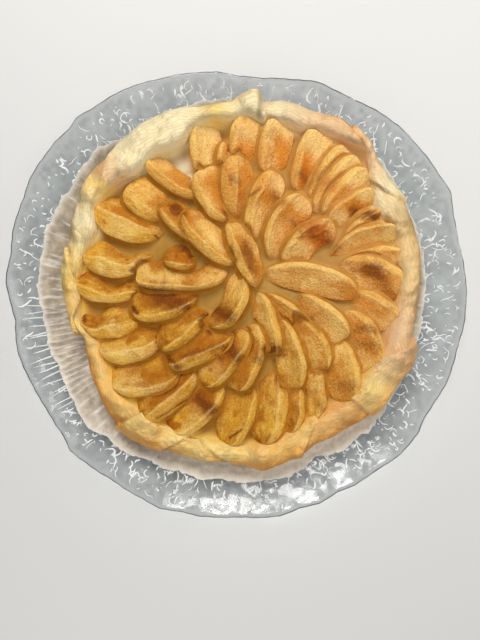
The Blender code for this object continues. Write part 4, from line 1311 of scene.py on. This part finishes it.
def sliceMarks(number, form, grid):
    solid, face, room = form["solid"], form["face"], form["room"]
    z = solid[:, 2]
    # Painted shade where the slice lies under or close to the slice above.
    contactShade, nearbyShade = np.exp(-room / (1.2 * mm)), np.exp(-room / (5.0 * mm))
    coreEdgeShade = smoothStep(1 - form["across"], 0.72, 1.0) * face
    ragged = 0.5 + 0.5 * softNoise(solid, 6 * mm, 41)
    lower = smoothStep(-solid[:, 0] - 0.7 * solid[:, 1], -0.05, 0.08)
    clear = 1 - 0.65 * smoothStep(solid[:, 0] + solid[:, 1], 0.02, 0.12)
    cloudy = smoothStep(softNoise(solid, 9 * mm, 42) + 0.5 * softNoise(solid, 3.5 * mm, 43), -0.15, 0.65)
    streaky = 0.55 + 0.45 * softNoise(solid, 3.5 * mm, 44)
    sunk = 1 - smoothStep(z, juiceLevel - 0.5 * mm, juiceLevel + 4.5 * mm)
    toast = markField(solid, toastMarks, 50)
    # Browning added to the listed patches: painted shade at the core edge, under and near the slice above,
    # and in the creases; random baked clouds, stronger towards the front left; darker where the slice lies
    # low, and towards the front left.
    toastAndShadeExtras = [
        0.5 * coreEdgeShade * ragged * clear,
        (0.45 + 0.50 * lower) * cloudy * (0.4 + 0.6 * face) * clear,
        0.8 * contactShade,
        (0.60 + 0.40 * lower) * nearbyShade * streaky * clear,
        0.5 * sunk * clear,
        0.6 * form["creases"] * ragged * clear,
        0.32 * lower * (0.5 + 0.5 * streaky),
    ]
    for extra in toastAndShadeExtras:
        toast = 1 - (1 - toast) * (1 - extra)
    toast = np.clip(toast * (0.6 + 0.4 * face), 0, 1)
    # Painted shade: darker brown right under the slice above, stronger towards the front left.
    shade = contactShade * (0.40 + 0.35 * lower) * clear
    scorchAndShade = np.clip(1.3 * markField(solid, scorchMarks, 60) + form["ringDark"] * 0.8 + shade, 0, 1)
    # Painted shade below the blurred tops of the slices, painted highlight above them.
    cavityShading = np.clip((z - readGrid(grid, solid)) / (4 * mm), -1, 1)
    return {
        "toast": toast, "scorchAndShade": scorchAndShade, "pale": markField(solid, paleMarks, 70), "face": face,
        "ruddy": markField(solid, ruddyMarks, 80), "ridge": form["ridge"], "grain": form["grain"],
        "own": np.full(len(solid), (number * 0.618) % 1), "cavityShading": cavityShading,
    }  # fmt: skip


def makeSlices():
    rows = sliceRows()
    count = sliceLook["stations"]
    turns = (1 - np.cos(math.pi * np.arange(count) / (count - 1))) / 2
    u = 0.002 + turns * 0.996
    material = appleMaterial()
    forms = [sliceForm(row, rows, u) for row in rows]
    grid = heightGrid(np.concatenate([form["solid"] for form in forms]))
    for row, form in zip(rows, forms):
        number = row["number"]
        corners = form["solid"].reshape(count, form["points"], 3)
        piece = ringMesh(f"appleSlice{number:02d}", corners, sliceMarks(number, form, grid))
        settle(piece, material, f"apple_slice_{number:02d}")
    print("apple slices ready")
    return grid


def appleMaterial():
    material, tree, shader = newMaterial(
        "bakedApple", 0.5, Subsurface_Weight=0.10, Subsurface_Scale=0.003, Specular_IOR_Level=0.07
    )
    shader.inputs["Subsurface Radius"].default_value = (1.0, 0.5, 0.15)
    place = placeVector(tree)
    cloud, patches = dapple(tree, place, 0.011, 2.6), dapple(tree, place, 0.0045, 3.4)
    grit = dapple(tree, place, 0.0016, 3.4)
    dots = useGroup(tree, fineSpeckle, Vector=place, Size=0.0013, Share=0.5)["Mask"]
    scaling = {0: mark(tree, "grain", "Vector"), 1: sliceLook["fibres"]}
    lengthwise = put(tree, "ShaderNodeVectorMath", scaling, operation="MULTIPLY")
    thread = noise(tree, lengthwise.outputs[0], 1.0, 4.0, Distortion=1.2)
    toast, ruddy = mark(tree, "toast"), mark(tree, "ruddy")
    rosy = remap(tree, farAlong(tree, place, (0.7, 0.7, 0.0)), -0.05, 0.09, 0.0, 0.9)

    # The flesh, paler and darker along its fibres.
    tone = plus(tree, product(tree, cloud, 0.7), product(tree, mark(tree, "own"), 0.4), clamp=True)
    colour = mixColour(tree, tone, sliceLook["fleshDeep"], sliceLook["flesh"])
    colour = mixColour(tree, rosy, colour, sliceLook["fleshRosy"])
    # Painted shade: the back of each slice is a darker yellow, for its form.
    backShadeShare = product(tree, oneMinus(tree, mark(tree, "face")), 0.45)
    colour = mixColour(tree, backShadeShare, colour, sliceLook["backShadeYellow"])
    colour = mixColour(tree, remap(tree, thread, 0.50, 0.62, 0.0, 0.55), colour, sliceLook["palePulp"])
    vein = remap(tree, thread, 0.47, 0.34, 0.0, 0.6)
    veined = maths(tree, "MAXIMUM", vein, product(tree, patches, cloud, 0.55))
    veined = product(tree, veined, oneMinus(tree, product(tree, rosy, 0.25)))
    colour = mixColour(tree, veined, colour, sliceLook["veins"])
    colour = mixColour(tree, mark(tree, "pale"), colour, sliceLook["palePulp"])

    # What the oven browned, with painted shade in the same browns, redder towards the back on the right.
    toasted = mixColour(tree, rosy, sliceLook["toasted"], sliceLook["toastedRosy"])
    toasted = mixColour(tree, product(tree, patches, 0.3), toasted, sliceLook["veins"])
    toasted = mixColour(tree, ruddy, toasted, sliceLook["ruddy"])
    colour = useGroup(
        tree, bakedColour, Base=colour, Toasted=toasted, Scorched=sliceLook["scorched"],
        Toast=maths(tree, "MAXIMUM", toast, ruddy), Scorch=mark(tree, "scorchAndShade"), Grit=grit,
    )["Color"]  # fmt: skip

    # Painted shade in crevices, painted highlights on crowns and ridges, and dots of spice.
    cavityShading = mark(tree, "cavityShading")
    creviceShade = mixColour(tree, rosy, sliceLook["creviceShade"], sliceLook["creviceShadeRosy"])
    colour = mixColour(tree, remap(tree, cavityShading, -0.05, -0.9, 0.0, 0.8), colour, creviceShade)
    crown = product(tree, remap(tree, cavityShading, 0.15, 0.75, 0.0, 0.35), oneMinus(tree, toast))
    colour = mixColour(tree, crown, colour, sliceLook["ridgeHighlight"])
    # Painted highlight along the ridge of each slice.
    faded = maths(tree, "SUBTRACT", 0.36, product(tree, rosy, 0.21))
    ridge = product(tree, mark(tree, "ridge"), plus(tree, patches, 0.25), faded)
    colour = mixColour(tree, ridge, colour, sliceLook["ridgeHighlight"])
    spiced = product(tree, dots, plus(tree, product(tree, toast, 0.3), 0.42))
    colour = mixColour(tree, spiced, colour, sliceLook["spice"])
    tree.links.new(colour, shader.inputs["Base Color"])
    tree.links.new(remap(tree, grit, 0.0, 1.0, 0.34, 0.58), shader.inputs["Roughness"])
    bump(tree, shader, plus(tree, product(tree, thread, 1.3), product(tree, grit, 0.55)), 0.9 * mm, 0.8)
    return material


topGrid = makeSlices()

# ---- juice on the pastry floor

juiceLook = {
    "edgeRise": 5.5 * mm,
    "edgeWidth": 0.10,
    "bearings": 400,
    "rings": 130,
    "drop": 1.1 * mm,
    "colour": (0.36, 0.20, 0.035, 1),
    "paleColour": (0.47, 0.29, 0.075, 1),
    "brownColour": (0.42, 0.19, 0.02, 1),
    "creviceShadeColour": (0.46, 0.19, 0.014, 1),
    "rosyColour": (0.52, 0.28, 0.075, 1),
    "rosyCreviceShade": (0.56, 0.28, 0.065, 1),
    "deepShadeColour": (0.33, 0.12, 0.008, 1),
    "bareColour": (0.86, 0.74, 0.50, 1),
    "roughness": 0.45,
}
# Where hardly any juice covers the pastry floor: place and radius.
barePlaces = [((182, 162), 12), ((232, 146), 6), ((188, 174), 6)]


def makeJuice():
    bearings = evenBearings(juiceLook["bearings"])
    _, lip, top = caseShape(bearings)
    floorTop, foot = caseLook["floorTop"], lip - caseLook["wallFoot"]
    climb = (juiceLevel + juiceLook["edgeRise"] - floorTop) / (top - caseLook["wallDrop"] - floorTop)
    reach = lip - caseLook["wallFoot"] * (1 - climb) + 0.8 * mm
    upper, fillShades, bares, soaks = [], [], [], []
    for share in np.linspace(1, 0.04, juiceLook["rings"]):
        spots = ringPoints(pieMiddle, bearings, reach * share, juiceLevel)
        flat = spots[:, :2]
        waves = 0.5 * mm * softNoise(flat, 12 * mm, 81) + 0.2 * mm * softNoise(flat, 4 * mm, 82)
        nearRim = np.clip((share - 1) / juiceLook["edgeWidth"] + 1, 0, 1) ** 1.6
        level = juiceLevel + waves + juiceLook["edgeRise"] * nearRim
        filled = readGrid(topGrid, spots) - juiceLook["drop"]
        bare = np.zeros(len(flat))
        for place, radius in barePlaces:
            away = np.linalg.norm(flat - plan(place), axis=1) / (radius * layout["pieStep"])
            bare = np.maximum(bare, np.exp(-((away / 0.8) ** 2)))
        spots[:, 2] = np.maximum(level, filled * (1 - bare) + level * bare)
        # Painted shade: how far the juice climbs up towards the slices.
        fillShades.append(np.clip((filled - level) / (3 * mm), 0, 1))
        bares.append(bare)
        soaks.append(np.full(len(flat), smoothStep(nearRim, 0.12, 0.8)))
        upper.append(spots)
    underRadii = (0 * foot + 20 * mm, foot * 0.97)
    under = [ringPoints(pieMiddle, bearings, radii, floorTop + 0.1 * mm) for radii in underRadii]
    padding = ((len(under), 0), (0, 0))
    known = {"fillShade": fillShades, "bare": bares, "soak": soaks}
    marks = {name: np.pad(lines, padding) for name, lines in known.items()}
    tints = rimTint(bearings) * caseLook["wetTone"]
    marks["tint"] = np.broadcast_to(tints, (len(under) + len(upper), *tints.shape))
    settle(ringMesh("bakedJuice", np.array(under + upper), marks), juiceMaterial())
    print("juice ready")


def juiceMaterial():
    material, tree, shader = newMaterial(
        "appleJuice", juiceLook["roughness"],
        Subsurface_Weight=0.1, Subsurface_Scale=0.004, Specular_IOR_Level=0.10,
    )  # fmt: skip
    shader.inputs["Subsurface Radius"].default_value = (1.0, 0.6, 0.2)
    place = placeVector(tree)
    frontLeft = farAlong(tree, place, (-0.8, -0.6, 0.0))
    browner = remap(tree, frontLeft, -0.03, 0.07, 0.0, 0.75)
    rosy = remap(tree, frontLeft, 0.0, -0.09, 0.0, 0.85)
    colour = mixColour(tree, dapple(tree, place, 0.012, 2.5), juiceLook["colour"], juiceLook["paleColour"])
    colour = mixColour(tree, browner, colour, juiceLook["brownColour"])
    colour = mixColour(tree, rosy, colour, juiceLook["rosyColour"])
    # Painted shade: the juice is darker brown where it climbs up to the slices.
    creviceShade = mixColour(tree, rosy, juiceLook["creviceShadeColour"], juiceLook["rosyCreviceShade"])
    deep = product(tree, dapple(tree, place, 0.005, 3.0), oneMinus(tree, product(tree, rosy, 0.7)), 0.8)
    creviceShade = mixColour(tree, deep, creviceShade, juiceLook["deepShadeColour"])
    colour = mixColour(tree, mark(tree, "fillShade"), colour, creviceShade)
    colour = mixColour(tree, product(tree, mark(tree, "soak"), 0.85), colour, mark(tree, "tint", "Color"))
    colour = mixColour(tree, mark(tree, "bare"), colour, juiceLook["bareColour"])
    tree.links.new(colour, shader.inputs["Base Color"])
    bump(tree, shader, noise(tree, place, 260.0, 3.0), 0.4 * mm, 0.6)
    return material


makeJuice()
